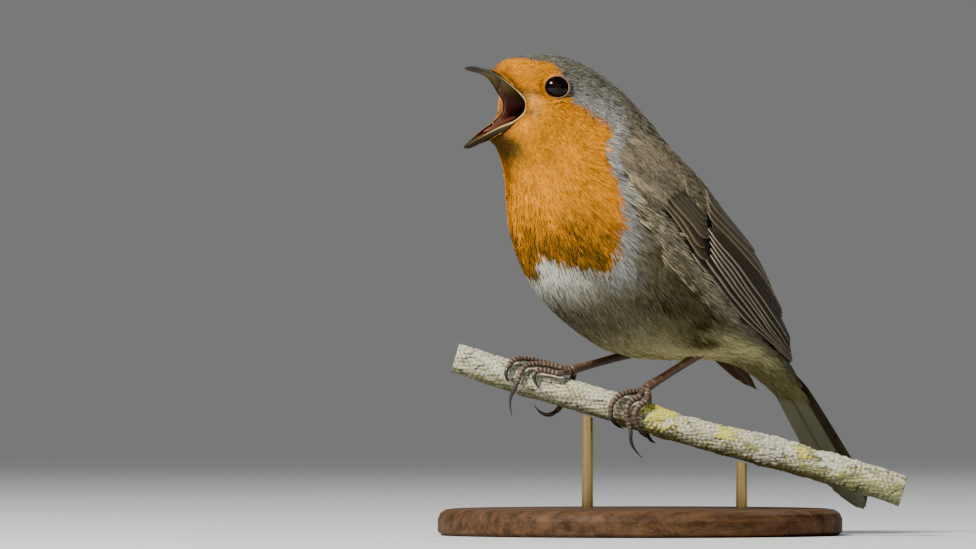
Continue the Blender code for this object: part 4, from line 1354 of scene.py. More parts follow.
def build_wings(plumage, quills):
    """Both folded wings: a dark bed, and over it rows of vanes, and the small coverts as tufts."""
    quill = vane_finish()
    bed = painted("wing_bed", 0.6, 0.05, Roughness=0.8)
    for side, mirror in SIDES:
        rng = np.random.default_rng(31 + mirror)
        build_bed(side, mirror, plumage, quills, bed)
        for name, row in FEATHER_ROWS.items():
            tips = QUILL_TIPS[mirror] if name == "quills" else {}
            made = add_vanes(f"wing_{side}_{name}", vane_row(quills, mirror, rng, **row, **tips), quill)
            if name in WING_PARTS:
                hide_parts(f"wing_{side}_{WING_PARTS[name]}")
        build_small_coverts(side, mirror, plumage, quills, rng)


TAIL_START = 13.0
TAIL_OVER = 0.15  # how far past the last section the longest feather ends, in places
TAIL_RANKS = 6
TAIL_SHORTER = {1: 0.012, -1: 0.019}  # how much shorter a feather is, in places, for the square of its rank
TAIL_WIDTHS = ((0, 2.6), (0.45, 5.0), (1, 6.9))  # by the share of the way to the tip
TAIL_FANNED = ((0, 0.55), (0.45, 0.88), (1, 1.07))  # how far each feather lies beside the last
TAIL_LAYER = 0.09
TAIL_THICKNESS = 0.12
TAIL_LENGTH = 50.0
TAIL_SWAY = 0.3  # how far the tail's end leans to the left, in millimetres
# The place where the feathers' bases begin to gather, over how far, and at what depth.
TAIL_BASE = (14.6, 1.6, 0.42)


def tail_rings(rank, mirror, share):
    """Rings round one tail feather, flat across.  It hangs under the back's line by its own level, and by
    more the further out it is, as a share of the depth there.  At its base it sinks into the coverts."""
    longest = TAIL_TIP + TAIL_OVER - TAIL_START
    place = TAIL_START + share * (longest - TAIL_SHORTER[mirror] * rank**2)
    back, belly, beside = (BODY(place, angle) for angle in (0.0, math.pi, math.pi / 2))
    width = table_at(TAIL_WIDTHS, share) * rounded(share, 0.93)
    centre = mirror * (0.4 + rank * table_at(TAIL_FANNED, share))
    y = -(centre[:, None] + width[:, None] * (VANE_ACROSS - 0.5) * mirror)
    level = TAIL_LAYER * (TAIL_RANKS - rank) if mirror > 0 and rank else TAIL_LAYER * rank + 0.04
    late = smooth(share / 0.6)[:, None]
    drop = level + 0.25 * (y / beside[:, 1:2]) ** 2 + 0.1 * late
    depth = np.linalg.norm(belly - back, axis=1)[:, None]
    gap = np.clip(drop / np.maximum(depth, 0.6), -0.5, 0.95)
    start, reach, deep = TAIL_BASE
    gap = lerp(gap, deep, np.clip((start - place)[:, None] / reach, 0, 1))
    top = lerp(back[:, None], belly[:, None], gap[..., None])
    top[..., 1] = y - TAIL_SWAY * late
    beyond = (BODY(TAIL_TIP, 0.0) - BODY(TAIL_TIP - 0.1, 0.0)) / 0.1
    top = top + np.maximum(place - TAIL_TIP, 0)[:, None, None] * beyond
    outward = unit(back - belly)[:, None]
    return np.concatenate([top, (top - outward * TAIL_THICKNESS)[:, ::-1]], axis=1)


def build_tail(quills):
    """Twelve tail feathers, each a flat vane from the base to the tip, stacked like the leaves of a
    closed fan with the middle pair on top."""
    quill = vane_finish()
    rng = np.random.default_rng(61)
    share = np.linspace(0, 1, VANE_ROWS)
    above, edge = rgb(quills.tail_top), rgb(quills.covert_edge) * 0.6
    made = []
    for rank in range(TAIL_RANKS):
        for _, mirror in SIDES:
            # The undersides of the near side's outer four feathers are painted a dark brown, as shade.
            under = above * 1.3 if mirror > 0 and rank > 1 else rgb(quills.tail_under)
            paint = vane_paint(share, above, edge, 0.10, under, rng)
            made.append((tail_rings(rank, mirror, share), paint, vane_map(share, 4.0, TAIL_LENGTH)))
    tail = add_vanes("tail_vanes", made, quill)
    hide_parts("tail")


# ---------------------------------------------------------------- bill, tongue and eyes

# Each half of the bill: the tip, and how far its ridge and its edges bow upwards on the way.
BILL_TIPS = {"upper_bill": (-47.1, 0.0, 105.8), "lower_bill": (-47.4, 0.0, 87.9)}
BILL_BOWS = {"upper_bill": (0.45, 1.5), "lower_bill": (-0.60, 0.35)}
BILL_MIDDLES = {"upper_bill": 0.0, "lower_bill": math.pi}
BILL_PINCH = 0.16
BILL_BLUNTNESS = 0.82
BILL_REACH = 62.0  # degrees round the mouth from its ridge to each edge
BILL_WALL = 0.45
BILL_RIDGE = 0.16
BILL_ROWS, BILL_COLUMNS = 56, 41
BILL_AHEAD = np.array((0.45, 0, 0))  # how far the bill's base stands ahead of the mouth's ring
BILL_RIDGE_WIDTH = 13  # degrees
# The slit's middle and width, by share of the way to the tip and by degrees.
NOSTRIL = ((0.19, 0.07), (38, 5))
NOSTRIL_DEPTH = 0.30
LOWER_TINT = (1.2, 0.85, 0.55)  # how the lower half's horn differs in colour
SOFT_RIM = (0.66, 0.41)  # where along the lower half the soft pale rim ends, and where it is full
# How far the gape's rim runs onto the lower and upper half, and in how many steps.
GAPE_ROWS = (0.72, 22, 0.38, 14)
GAPE_CORNER = (0.30, 0, 0)  # how far ahead of the face the rim starts at the corner of the mouth
GAPE_RADII = ((0, 0.05), (0.12, 0.12), (0.42, 0.20), (0.55, 0.25), (0.75, 0.16), (1, 0.04))
GAPE_TINT = (0.72, 0.70, 0.55)
GAPE_SIDES = 12
# The tongue's rows: x, z, half width and half thickness, from its root to its tip.
TONGUE = (
    (-34.0, 94.6, 1.3, 0.5), (-36.0, 93.8, 1.45, 0.55), (-38.4, 92.8, 1.4, 0.55), (-40.4, 92.0, 1.1, 0.45),
    (-42.0, 91.4, 0.10, 0.08),
)
TONGUE_ROWS, TONGUE_SIDES = 34, 28


def even(values, count):
    """Rows of numbers spread by a spline over a number of places."""
    return spline(values)(np.linspace(0, len(values) - 1, count))


def bill_points(name, share, degrees, swell=0.0):
    """Points of half a bill.  At a share s of the way to the tip, the mouth's ring is set on the line
    from its middle to the tip, its size is (1 - s) to the power of the bluntness, and its width is
    pinched by sin(pi s).  The ridge bows by its own amount times sin(pi s^1.6), and the edges by theirs
    times sin(pi s^0.75)^1.5."""
    share, degrees, swell = np.broadcast_arrays(np.clip(share, 0, 1), degrees, swell)
    tip = np.array(BILL_TIPS[name])
    middle = BILL_MIDDLES[name]
    centre = (BODY(0.0, middle) + BODY(0.0, middle + np.radians(BILL_REACH))) / 2 - BILL_AHEAD
    centre[1] = 0.0
    arc = BODY(0.0, middle + np.radians(degrees), swell) - BILL_AHEAD - centre
    size = (1 - share) ** BILL_BLUNTNESS
    pinch = 1 - BILL_PINCH * np.sin(math.pi * share)
    scale = size[..., None] * np.stack([np.ones_like(pinch), pinch, np.ones_like(pinch)], axis=-1)
    ridge, edge = BILL_BOWS[name]
    aside = (degrees / BILL_REACH) ** 2
    lift = lerp(ridge * np.sin(math.pi * share**1.6), edge * np.sin(math.pi * share**0.75) ** 1.5, aside)
    return centre + (tip - centre) * share[..., None] + arc * scale + lift[..., None] * np.array((0, 0, 1.0))


def horn_paint(upper, settings, share, degrees, slit):
    """The colours outside and inside half of the bill: horn that pales along the mouth, painted dark as
    shade in the nostrils, and flesh inside, with a soft pale rim on the lower half."""
    across = np.abs(degrees) / BILL_REACH
    pale = (0.30 if upper else 0.04) * step(across, 0.25, 0.85) * step(share, 0.85, 0.15)
    base = rgb(settings.horn) * (1 if upper else LOWER_TINT)
    soft = step(share, *SOFT_RIM) * (not upper)
    outer = lerp(base, rgb(settings.horn_pale), pale[..., None])
    outer = lerp(outer, rgb(settings.gape) * 0.9, (step(across, 0.94, 0.98) * soft)[..., None])
    flesh = rgb(settings.palate if upper else settings.mouth) * 0.9
    rim = lerp(rgb(settings.horn) * 1.6, rgb(settings.gape) * 0.8, soft[..., None])
    inner = lerp(flesh, rgb(settings.horn_pale), step(share, 0.05, 0.85)[..., None])
    # painted shade in the nostrils
    return outer * (1 - 0.9 * slit)[..., None], lerp(inner, rim, step(across, 0.90, 0.98)[..., None])


def build_horn(name, settings, horn):
    """Half of the bill as a hollow cone, whose sides stand a little hollow between a raised ridge and the
    rounded edges.  The nostrils are slits in the upper half."""
    upper = name == "upper_bill"
    share = (np.linspace(0, 1, BILL_ROWS, endpoint=False) ** 0.92)[:, None]
    degrees = np.linspace(-BILL_REACH, BILL_REACH, BILL_COLUMNS)[None, :]
    ridge = BILL_RIDGE * near(degrees, 0, BILL_RIDGE_WIDTH) * (1 - 0.4 * share)
    slit = spot(share, np.abs(degrees), NOSTRIL) * upper
    outside = bill_points(name, share, degrees, ridge - NOSTRIL_DEPTH * slit)
    inside = bill_points(name, share, degrees, -BILL_WALL * (1 - 0.35 * share))
    rings = np.concatenate([outside, inside[:, ::-1]], axis=1)
    outer, inner = horn_paint(upper, settings, share, degrees, slit)
    made = add_rings(name + "_horn", rings, horn, np.concatenate([outer, inner[:, ::-1]], axis=1))
    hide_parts(name)


def gape_path(mirror):
    """The line of the gape's rim on one side: back along the lower edge of the bill, up round the corner
    of the mouth, and out along the upper edge, each point moved halfway to the middle of its
    neighbours."""
    low_end, low_count, high_end, high_count = GAPE_ROWS
    edge = BILL_REACH - 1.5
    low = bill_points("lower_bill", np.linspace(low_end, 0.0, low_count), -mirror * edge, -0.25)
    turn = np.radians(np.linspace(180 - BILL_REACH, BILL_REACH, low_count))[1:-1]
    bulge = np.sin((turn - turn[0]) / (turn[-1] - turn[0]) * math.pi)[:, None]
    corner = face(0.0, mirror * turn, -0.22) - GAPE_CORNER * (1 - bulge)
    high = bill_points("upper_bill", np.linspace(0.0, high_end, high_count), mirror * edge, -0.25)
    path = np.concatenate([low, corner, high])
    path[1:-1] = (path[:-2] + 2 * path[1:-1] + path[2:]) / 4
    return path


def build_gape(side, mirror, settings, soft):
    """The soft rim of the gape on one side, a tube that is brightest at the corner, and inside a darker
    flesh colour, partly the mouth's own and partly painted shade."""
    path = gape_path(mirror)
    way = np.linspace(0, 1, len(path))
    radii = table_at(GAPE_RADII, way)
    rings = tube_rings(path, (0, mirror * -1.0, 0.0), radii, GAPE_SIDES)
    bright = step(np.abs(way - 0.55), 0.35, 0.05)[:, None, None]
    paint = lerp(rgb(settings.gape) * GAPE_TINT, rgb(settings.gape), bright)
    outer = smooth(0.5 + 0.9 * ((rings - path[:, None])[..., 1] * -mirror) / radii[:, None])[..., None]
    # the inner side in a darker tone of the mouth, partly painted shade
    paint = lerp(rgb(settings.mouth) * 0.7, paint, outer)
    add_rings(f"gape_{side}", rings, soft, paint)


def build_tongue(settings):
    """The tongue: ellipses along its rows, with a groove down the middle of the top, paler towards the
    tip."""
    wet = painted("tongue", 0.6, 0.05, grain=0.2, Roughness=0.4)
    turns = circle(TONGUE_SIDES)
    x, z, half, thick = (column[:, None] for column in even(TONGUE, TONGUE_ROWS).T)
    groove = 0.22 * near(np.cos(turns), 0, 0.25) * (np.sin(turns) > 0)
    rings = np.stack([x + 0 * turns, half * np.cos(turns), z + thick * (np.sin(turns) - groove)], axis=-1)
    light = 1 + 0.5 * np.linspace(-0.6, 1, TONGUE_ROWS)[:, None, None]
    made = add_rings("tongue_flesh", rings, wet, rgb(settings.tongue) * light)
    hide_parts("tongue")


def build_bill(settings):
    """Both halves of the bill, the soft rim of the gape, and the tongue."""
    long = (0.25, 1, 1)
    horn = painted("horn", 0.5, 0.02, grain=0.22, stretch=long, Roughness=0.52, Specular_IOR_Level=0.18)
    for name in BILL_TIPS:
        build_horn(name, settings, horn)
    soft = painted("gape", 0.7, 0.04, grain=0.15, Roughness=0.6, Specular_IOR_Level=0.2)
    for side, mirror in SIDES:
        build_gape(side, mirror, settings, soft)
    build_tongue(settings)


# The lid's profile: distance from the eye's axis, and height over the eye's centre, outside and back
# underneath.
LID = (
    (2.60, 1.96), (2.66, 2.10), (2.80, 2.16), (2.98, 2.06), (3.20, 1.70), (3.5, 1.0), (3.6, 0.2), (3.2, 0.2),
    (2.9, 1.0), (2.64, 1.70),
)
LID_SIDES = 96
LID_ROWS = 30
LID_EDGE = (0.015, 0.012, 0.010)  # the colour of its inner edge
BALL_ROWS, BALL_SIDES = 40, 64
EYE_BLACK, EYE_BROWN = (0.003, 0.002, 0.002), (0.010, 0.006, 0.004)


def turned(profile, sides, mirror):
    """Rings round the eye's axis on one side of the head, from rows of a radius and a height.  They are
    lower than they are wide, by the squint."""
    centre, normal = eye_frame()
    first = unit(np.cross(normal, (0, 0, 1.0)))
    second = np.cross(normal, first) * EYE_SQUINT
    turns = circle(sides)[:, None]
    around = first * np.cos(turns) + second * np.sin(turns)
    radius, height = np.asarray(profile, float).T
    rings = centre + around[None] * radius[:, None, None] + normal * height[:, None, None]
    return rings * (1, mirror, 1)


def build_eyeball(side, mirror, glass):
    """One eye, turned from a half circle."""
    tilt = np.linspace(0.02, math.pi - 0.02, BALL_ROWS)
    ball = EYE_RADIUS * np.stack([np.sin(tilt), np.cos(tilt)], axis=-1)
    points, faces = ring_solid(turned(ball, BALL_SIDES, mirror))
    made = add_mesh(f"eyeball_{side}", points, faces, glass)
    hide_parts(f"eye_{side}")


def lid_paint(settings, plumage, distance, direction):
    """The lid's colour: brightest in front and above, broken by fine notches, the coat's own colour at
    its outer edge, and dark at the inner one."""
    notches = 0.75 + 0.25 * np.sin(circle(LID_SIDES) * 31)
    bright = smooth(0.15 + 0.8 * direction[:, 0] - 0.6 * direction[:, 2]) * notches
    behind = smooth(0.5 + 1.2 * direction[:, 0])
    coat = lerp(rgb(plumage.orange) * 0.8, rgb(plumage.slate) * 0.5, behind[:, None])
    paint = lerp(rgb(plumage.rust) * 0.45, rgb(settings.lid), bright[:, None])
    paint = lerp(paint, coat, step(distance, 2.90, 3.04))
    return lerp(paint, rgb(LID_EDGE), step(distance, 2.76, 2.70))


def build_lid(side, mirror, settings, plumage, rim):
    """The ring round one eye, turned from a profile, with its top a little beaded."""
    rows = spline(LID + LID[:1])(np.linspace(0, len(LID), LID_ROWS, endpoint=False))
    distance, height = rows.T[..., None, None]
    rings = turned(rows, LID_SIDES, mirror)
    beads = 0.05 * np.sin(circle(LID_SIDES) * 22)[:, None] * step(height, 1.8, 2.1)
    centre = rings.mean(axis=(0, 1))
    rings = centre + (rings - centre) * (1 + 0.04 * beads)
    paint = lid_paint(settings, plumage, distance, unit(rings[12] - centre))
    faces = grid_faces(LID_ROWS + 1, LID_SIDES, closed=True) % (LID_ROWS * LID_SIDES)
    add_mesh(f"eyelid_{side}", rings, [faces], rim, paint)


def build_eyes(settings, plumage):
    """Both eyes, glossy and almost black, and their lids."""
    glass, feed, wire = finish("eye", Roughness=0.05, IOR=1.34)
    feed("Base Color", noise_at(wire, 1.5).between(0.3, 0.7).mix(colour(*EYE_BLACK), colour(*EYE_BROWN)))
    rim = painted("eyelid", 0.35, 0.06, grain=0.25, Roughness=0.55)
    for side, mirror in SIDES:
        build_eyeball(side, mirror, glass)
        build_lid(side, mirror, settings, plumage, rim)


# ---------------------------------------------------------------- perch and feet

PERCH_POINT = (-3.6, -5.7, 27.0)
PERCH_HEADING = math.radians(-32.0)
PERCH_FALL = math.radians(16.3)
# Rows of the distance along the perch, its bend upwards there, and its radius.
PERCH_ROWS = (
    (-44.0, 0.9, 3.6), (-33.0, 0.6, 3.55), (-21.0, 0.45, 3.45), (-9.0, 0.4, 3.4), (4.0, -0.15, 3.35),
    (17.0, 0.1, 3.4), (34.0, 0.5, 3.5), (48.0, 0.6, 3.5), (62.0, 0.5, 3.55),
)


def perch_size(along):
    """The perch's bend upwards and its radius at distances along it."""
    table = np.array(PERCH_ROWS)
    rows = spline(table[:, 1:])(np.interp(along, table[:, 0], np.arange(len(table))))
    return rows[..., 0], rows[..., 1]


def perch_point(along, angle, distance):
    """Points at distances from the perch's axis, turned round it from its top to the bird's left."""
    along, angle, distance = np.broadcast_arrays(along, angle, distance)
    level = np.array((math.cos(PERCH_HEADING), math.sin(PERCH_HEADING), 0.0))
    axis = level * math.cos(PERCH_FALL) - np.array((0, 0, math.sin(PERCH_FALL)))
    outwards = np.array((level[1], -level[0], 0.0))
    upwards = level * math.sin(PERCH_FALL) + np.array((0, 0, math.cos(PERCH_FALL)))
    bend, _ = perch_size(along)
    up = (bend + distance * np.cos(angle))[..., None] * upwards
    out = (distance * np.sin(angle))[..., None] * outwards
    return np.array(PERCH_POINT) + along[..., None] * axis + up + out


# Patches of lichen: distance along the perch, degrees round it from its top, half length and half width in
# millimetres, how much stands there, and its colour.
LICHENS = (
    (4.2, 42, 4.6, 4.4, 1.1, "yellow"), (19.5, 48, 3.2, 2.6, 0.9, "yellow"),
    (25.0, -30, 3.0, 2.5, 0.7, "yellow"), (31.5, 35, 6.5, 3.6, 0.9, "pale"),
    (37.5, 52, 2.2, 1.8, 0.9, "yellow"), (45.5, 30, 5.6, 4.9, 1.3, "pale"),
    (47.0, 95, 1.3, 1.3, 0.6, "yellow"), (54.0, -20, 3.5, 3.5, 0.8, "pale"),
    (-12.0, -60, 4.0, 3.0, 0.8, "yellow"), (12.0, -95, 5.0, 3.5, 0.9, "pale"),
    (-38.0, 60, 3.0, 2.5, 0.6, "pale"), (30.0, 110, 4.0, 2.5, 0.7, "pale"),
)
PERCH_RINGS, PERCH_SIDES = 420, 168
BARK_SUNK = 0.12  # how far the bark's middle level lies inside the perch's radius
# How lichen's first thin film differs in colour.
PALE_TINT, YELLOW_TINT = (0.95, 0.88, 0.80), (0.75, 0.85, 1.6)
SAWN = (0.46, 0.34, 0.20)  # the colour of the sawn ends
SAWN_STEPS = (0.985, 0.15, 12)  # their rings, as shares of the end's radius


def bark_relief(solid):
    """The bark's fine grain, lumps, cracks along it and cracks round it, and the height they make
    together."""
    ridges = ripple(solid * (0.28, 1, 1), 2.4, 81)
    fine = ripple(solid, 0.8, 82, 15)
    lumps = ripple(solid, 6.0, 83)
    crack = near(ripple(solid * (0.35, 1, 1), 2.1, 84, 12), 0, 0.10) * smooth(0.4 + ripple(solid, 5, 85))
    ring = near(ripple(solid * (1, 0.3, 0.3), 3.4, 86), 0, 0.09) * smooth(ripple(solid, 6, 87))
    return fine, lumps, crack, ring, 0.10 * ridges + 0.05 * fine + 0.12 * lumps - 0.26 * crack - 0.12 * ring


def bark_paint(settings, solid, along, angle, fine, lumps):
    """The bark's colour: bleached on top, green below and towards the bird's tail, a darker green underneath
    as painted shade, with thin films of lichen."""
    greener = 0.75 * step(along, 10, 36) + 0.30 * smooth(ripple(solid, 9, 93))
    upper = 0.60 * np.cos(angle - 0.6)
    bleached = smooth(0.60 + 0.40 * ripple(solid, 2.4, 91) + 0.40 * fine + upper - greener)
    film = 0.28 * bleached * smooth(0.1 + ripple(solid, 1.9, 88) * 0.9)
    # painted shade along the underside
    low = smooth((-0.30 - np.cos(angle - 0.15) + 0.15 * lumps) / 0.5)
    spots = 0.45 * (1 - low) * step(ripple(solid, 1.3, 92), 0.55, 0.85)
    paint = rgb(settings.moss)
    for tone, share in (
        (rgb(settings.bark), bleached),
        (rgb(settings.pale) * PALE_TINT, film),
        # the darker green is painted shade
        (rgb(settings.moss) * 0.45, 0.85 * low),
        (rgb(settings.yellow) * YELLOW_TINT, spots),
    ):
        paint = lerp(paint, tone, share[..., None])
    return paint * (0.80 + 0.30 * smooth(0.5 + 0.6 * fine))[..., None]


def lichen(settings, solid, along, angle, radius, row):
    """How much of one patch of lichen is at each point, how far it stands proud, and its colour, painted
    darker as shade between its crinkles.  Its border is an ellipse whose size varies by noise."""
    place, degrees, long_half, wide_half, amount, kind = row
    seed = int(place)
    off = (angle - math.radians(degrees) + math.pi) % (2 * math.pi) - math.pi
    away = np.hypot((along - place) / long_half, off * radius / wide_half)
    away = away + 0.30 * ripple(solid, 2.4, 90 + seed) + 0.22 * ripple(solid, 1.0, 190 + seed)
    mask = step(away, 1.0, 0.72)
    crinkle = np.abs(ripple(solid, 1.1, 290 + seed, 12))
    # painted shade between the crinkles
    tone = rgb(getattr(settings, kind)) * (0.42 + 0.58 * smooth(crinkle / 0.35))[..., None]
    return mask * min(1.0, amount) * 0.92, mask * amount * (0.15 + 0.15 * crinkle), tone


def sawn_end(settings, ring):
    """Rings inwards from an end of the bark, and their paint: the wood's rings, with dark bark at the
    rim."""
    middle = ring.mean(axis=0)
    steps = np.linspace(*SAWN_STEPS)[:, None, None]
    cut = middle + (ring - middle) * steps
    grain = 0.78 + 0.22 * np.sin(steps * 34) + 0.06 * ripple(cut, 1.0, 99)[..., None]
    return cut, lerp(rgb(SAWN) * grain, rgb(settings.crevice), step(steps, 0.93, 0.97))


def build_perch(settings):
    """The cut branch: a tube whose radius is the table's, with bark ridges as stretched noise, cracks
    where the noise runs through nothing, and lichen that stands proud in crinkled patches.  Its ends are
    sawn."""
    bark = painted("bark", 0.45, 0.14, grain=0.35, Roughness=0.9)
    along = np.linspace(PERCH_ROWS[0][0], PERCH_ROWS[-1][0], PERCH_RINGS)[:, None]
    angle = np.linspace(-math.pi, math.pi, PERCH_SIDES, endpoint=False)[None, :]
    along, angle = np.broadcast_arrays(along, angle)
    _, radius = perch_size(along)
    solid = np.stack([along, radius * np.sin(angle), radius * np.cos(angle)], axis=-1)
    fine, lumps, crack, ring, height = bark_relief(solid)
    paint = bark_paint(settings, solid, along, angle, fine, lumps)
    for row in LICHENS:
        share, rise, tone = lichen(settings, solid, along, angle, radius, row)
        height = height + rise
        paint = lerp(paint, tone, share[..., None])
    paint = lerp(paint, rgb(settings.crevice), np.clip(0.85 * crack + 0.5 * ring, 0, 1)[..., None])
    paint = paint * (0.86 + 0.16 * np.clip(fine, -1, 1))[..., None]
    rings = perch_point(along, angle, radius - BARK_SUNK + height)
    (first, first_paint), (last, last_paint) = (sawn_end(settings, rings[end]) for end in (0, -1))
    rings = np.concatenate([first[::-1], rings, last])
    made = add_rings("perch_bark", rings, bark, np.concatenate([first_paint[::-1], paint, last_paint]))
    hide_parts("perch")


KNEES = {"left": (17.5, -9.8, 47.5), "right": (9.5, 10.2, 47.0)}
ANKLES = {"left": (13.7, -9.0, 42.9), "right": (5.0, 9.0, 41.6)}
FEET = {"left": (-0.5, 0.0, 6.6), "right": (-18.0, 0.0, 5.2)}
THIGH_RADII = (3.6, 3.1, 2.2, 1.45)
SHANK_RADII = (1.25, 1.02, 0.92, 0.88, 0.92, 1.1)
TOE_RADII = (0.90, 0.74, 0.70, 0.66, 0.58)
CLAW_RADII = (0.50, 0.46, 0.36, 0.20, 0.06)
CLAW_POINTS = 4
# The line of each toe and of its claw, as distances along the perch, angles round it from its top, and
# distances from its axis.  The claw takes the last four points.  The first toe is the hind one and the
# second the inner.
TOES = {
    ("left", 1): (
        (0.5, -20, 5.3), (1.2, -50, 4.8), (1.8, -85, 4.7), (2.2, -115, 4.7),
        (2.6, -133, 4.7), (3.4, -150, 4.7), (4.3, -164, 4.7), (5.0, -175, 4.6),
    ),
    ("left", 2): (
        (-1.9, 8, 5.3), (-4.0, 26, 4.9), (-5.9, 52, 4.7), (-7.0, 85, 4.7),
        (-6.4, 115, 4.7), (-5.3, 132, 4.7), (-4.0, 145, 4.5), (-2.8, 154, 4.2),
    ),
    ("left", 3): (
        (-1.5, 36, 5.2), (-3.1, 62, 4.8), (-3.4, 84, 4.8), (-2.6, 108, 4.9),
        (-1.2, 131, 5.8), (-0.7, 143, 6.8), (0.6, 153, 8.1), (3.0, 162, 9.2),
    ),
    ("left", 4): (
        (0.6, 40, 5.2), (-0.8, 62, 4.8), (-1.4, 82, 4.7), (-1.0, 104, 4.7),
        (0.6, 127, 4.7), (1.8, 140, 4.6), (3.0, 152, 4.4), (3.9, 162, 4.1),
    ),
    ("right", 1): (
        (-17.2, -25, 5.3), (-17.1, -60, 4.8), (-17.3, -95, 4.7), (-17.8, -128, 4.8),
        (-18.7, -154, 5.4), (-20.2, -168, 6.1), (-22.2, -175, 5.8), (-23.8, -178, 4.7),
    ),
    ("right", 2): (
        (-20.3, 44, 5.2), (-22.2, 43, 4.9), (-24.2, 45, 4.8), (-25.4, 54, 4.7),
        (-25.8, 68, 4.7), (-25.4, 80, 4.6), (-24.6, 91, 4.4), (-23.7, 99, 4.2),
    ),
    ("right", 3): (
        (-20.4, 16, 5.2), (-24.2, 19, 5.0), (-27.5, 40, 4.8), (-28.8, 70, 4.8),
        (-29.0, 105, 5.2), (-29.3, 124, 6.3), (-29.2, 139, 7.8), (-28.0, 151, 9.6),
    ),
    ("right", 4): (
        (-20.6, -9, 5.2), (-24.8, -4, 5.1), (-28.6, 12, 4.9), (-31.2, 42, 4.7),
        (-32.0, 75, 4.7), (-31.9, 90, 4.6), (-31.4, 101, 4.4), (-30.8, 110, 4.2),
    ),
}
TOE_NUMBERS = (1, 2, 3, 4)
THIGH_TUFTS = (520, (0.0, 0.88))  # how many, and the share of the thigh they stand on
THIGH_SIZES = (2.4, 0.22, 1.5)  # length, width and depth
SHANK_TOP = -0.06  # the shank begins this share of its length above the ankle
SHANK_ROWS, SHANK_SIDES = 90, 26
SHANK_SCUTE = (1.9, 0.86)  # the length of a scute, and the share of it that rises
SHANK_UP = (-1.0, 0.0, 0.25)  # the shank's front
TOE_ROWS, TOE_ROOT_ROWS, TOE_SIDES, CLAW_SIDES = 160, 12, 18, 14
TOE_SCUTE = (0.95, 0.8)
TOE_END = ((0, 1), (0.96, 1), (1, 0.72))  # how a toe narrows at its end
PAD_LENGTH = 2.9
CLAW_STEP = 3  # the claw takes every third point of the line
CLAW_OVERLAP = 4  # and begins this many points inside the toe
# the first tint is a painted highlight down the shank's front, the second the toes' pads
FRONT_HIGHLIGHT_TINT, PAD_TINT = (2.3, 1.8, 1.3), (0.35, 0.28, 0.2)


def thigh_surface(side):
    """A surface round a thigh: place from 0 at the knee to 1 at the ankle, angle round it, swell
    outwards."""
    knee, ankle = np.array(KNEES[side]), np.array(ANKLES[side])
    axis = unit(ankle - knee)
    first = unit(np.cross(axis, (0, 1.0, 0)))
    second = np.cross(axis, first)

    def surface(place, angle, swell=0.0):
        """Circles square to the thigh, half a millimetre under its radius."""
        place, angle, swell = np.broadcast_arrays(place, angle, swell)
        radius = along_it(THIGH_RADII, place) - 0.5 + swell
        round_it = first * np.cos(angle)[..., None] + second * np.sin(angle)[..., None]
        return knee + (ankle - knee) * place[..., None] + round_it * radius[..., None]

    return surface


def along_it(values, share):
    """Values spread evenly from 0 to 1, read on straight lines at a share of the way."""
    return np.interp(share, np.linspace(0, 1, len(values)), values)


def scutes(way, length, rising):
    """The height of overlapping scutes of a length at distances along them: each rises evenly for its
    first share, then falls to the next one."""
    phase = (way / length) % 1.0
    return np.where(phase > rising, (1 - phase) / (1 - rising), phase / rising)[:, None]


def build_thigh(side, plumage, rng):
    """The dark tufts of a thigh."""
    count, places = THIGH_TUFTS
    surface = thigh_surface(side)
    place, angle = scatter(surface, places, (-math.pi, math.pi), count, rng, cells=60)
    paint = rgb(plumage.dusk) * (1 + 0.25 * ripple(surface(place, angle), 3, 52))[:, None]
    tufts(f"coat_thigh_{side}", surface, place, angle, rng, plumage_finish(), paint, *THIGH_SIZES)


def shank(side, foot, settings):
    """Rings round a shank and their paint, its front painted lighter as a highlight, with scutes down it
    whose worn edges are pale.
    """
    ankle = np.array(ANKLES[side])
    share = np.linspace(SHANK_TOP, 1, SHANK_ROWS)
    rise = scutes(share * np.linalg.norm(foot - ankle), *SHANK_SCUTE)
    turns = circle(SHANK_SIDES)
    front = smooth(0.5 + np.sin(turns))
    relief = 1 + 0.09 * (rise - 0.5) * front + 0.03 * (np.abs(np.sin(turns)) - 0.5)
    path = ankle + (foot - ankle) * share[:, None]
    rings = tube_rings(path, SHANK_UP, along_it(SHANK_RADII, share), SHANK_SIDES, relief)
    dark = rgb(settings.leg)
    # painted highlight down the front
    paint = lerp(dark, dark * FRONT_HIGHLIGHT_TINT, 0.7 * front[:, None])
    paint = lerp(paint, rgb(settings.leg_pale), (0.22 * step(rise, 0.80, 1.0) * front)[..., None])
    return rings, paint * (1 + 0.15 * ripple(rings, 2.0, 53))[..., None]


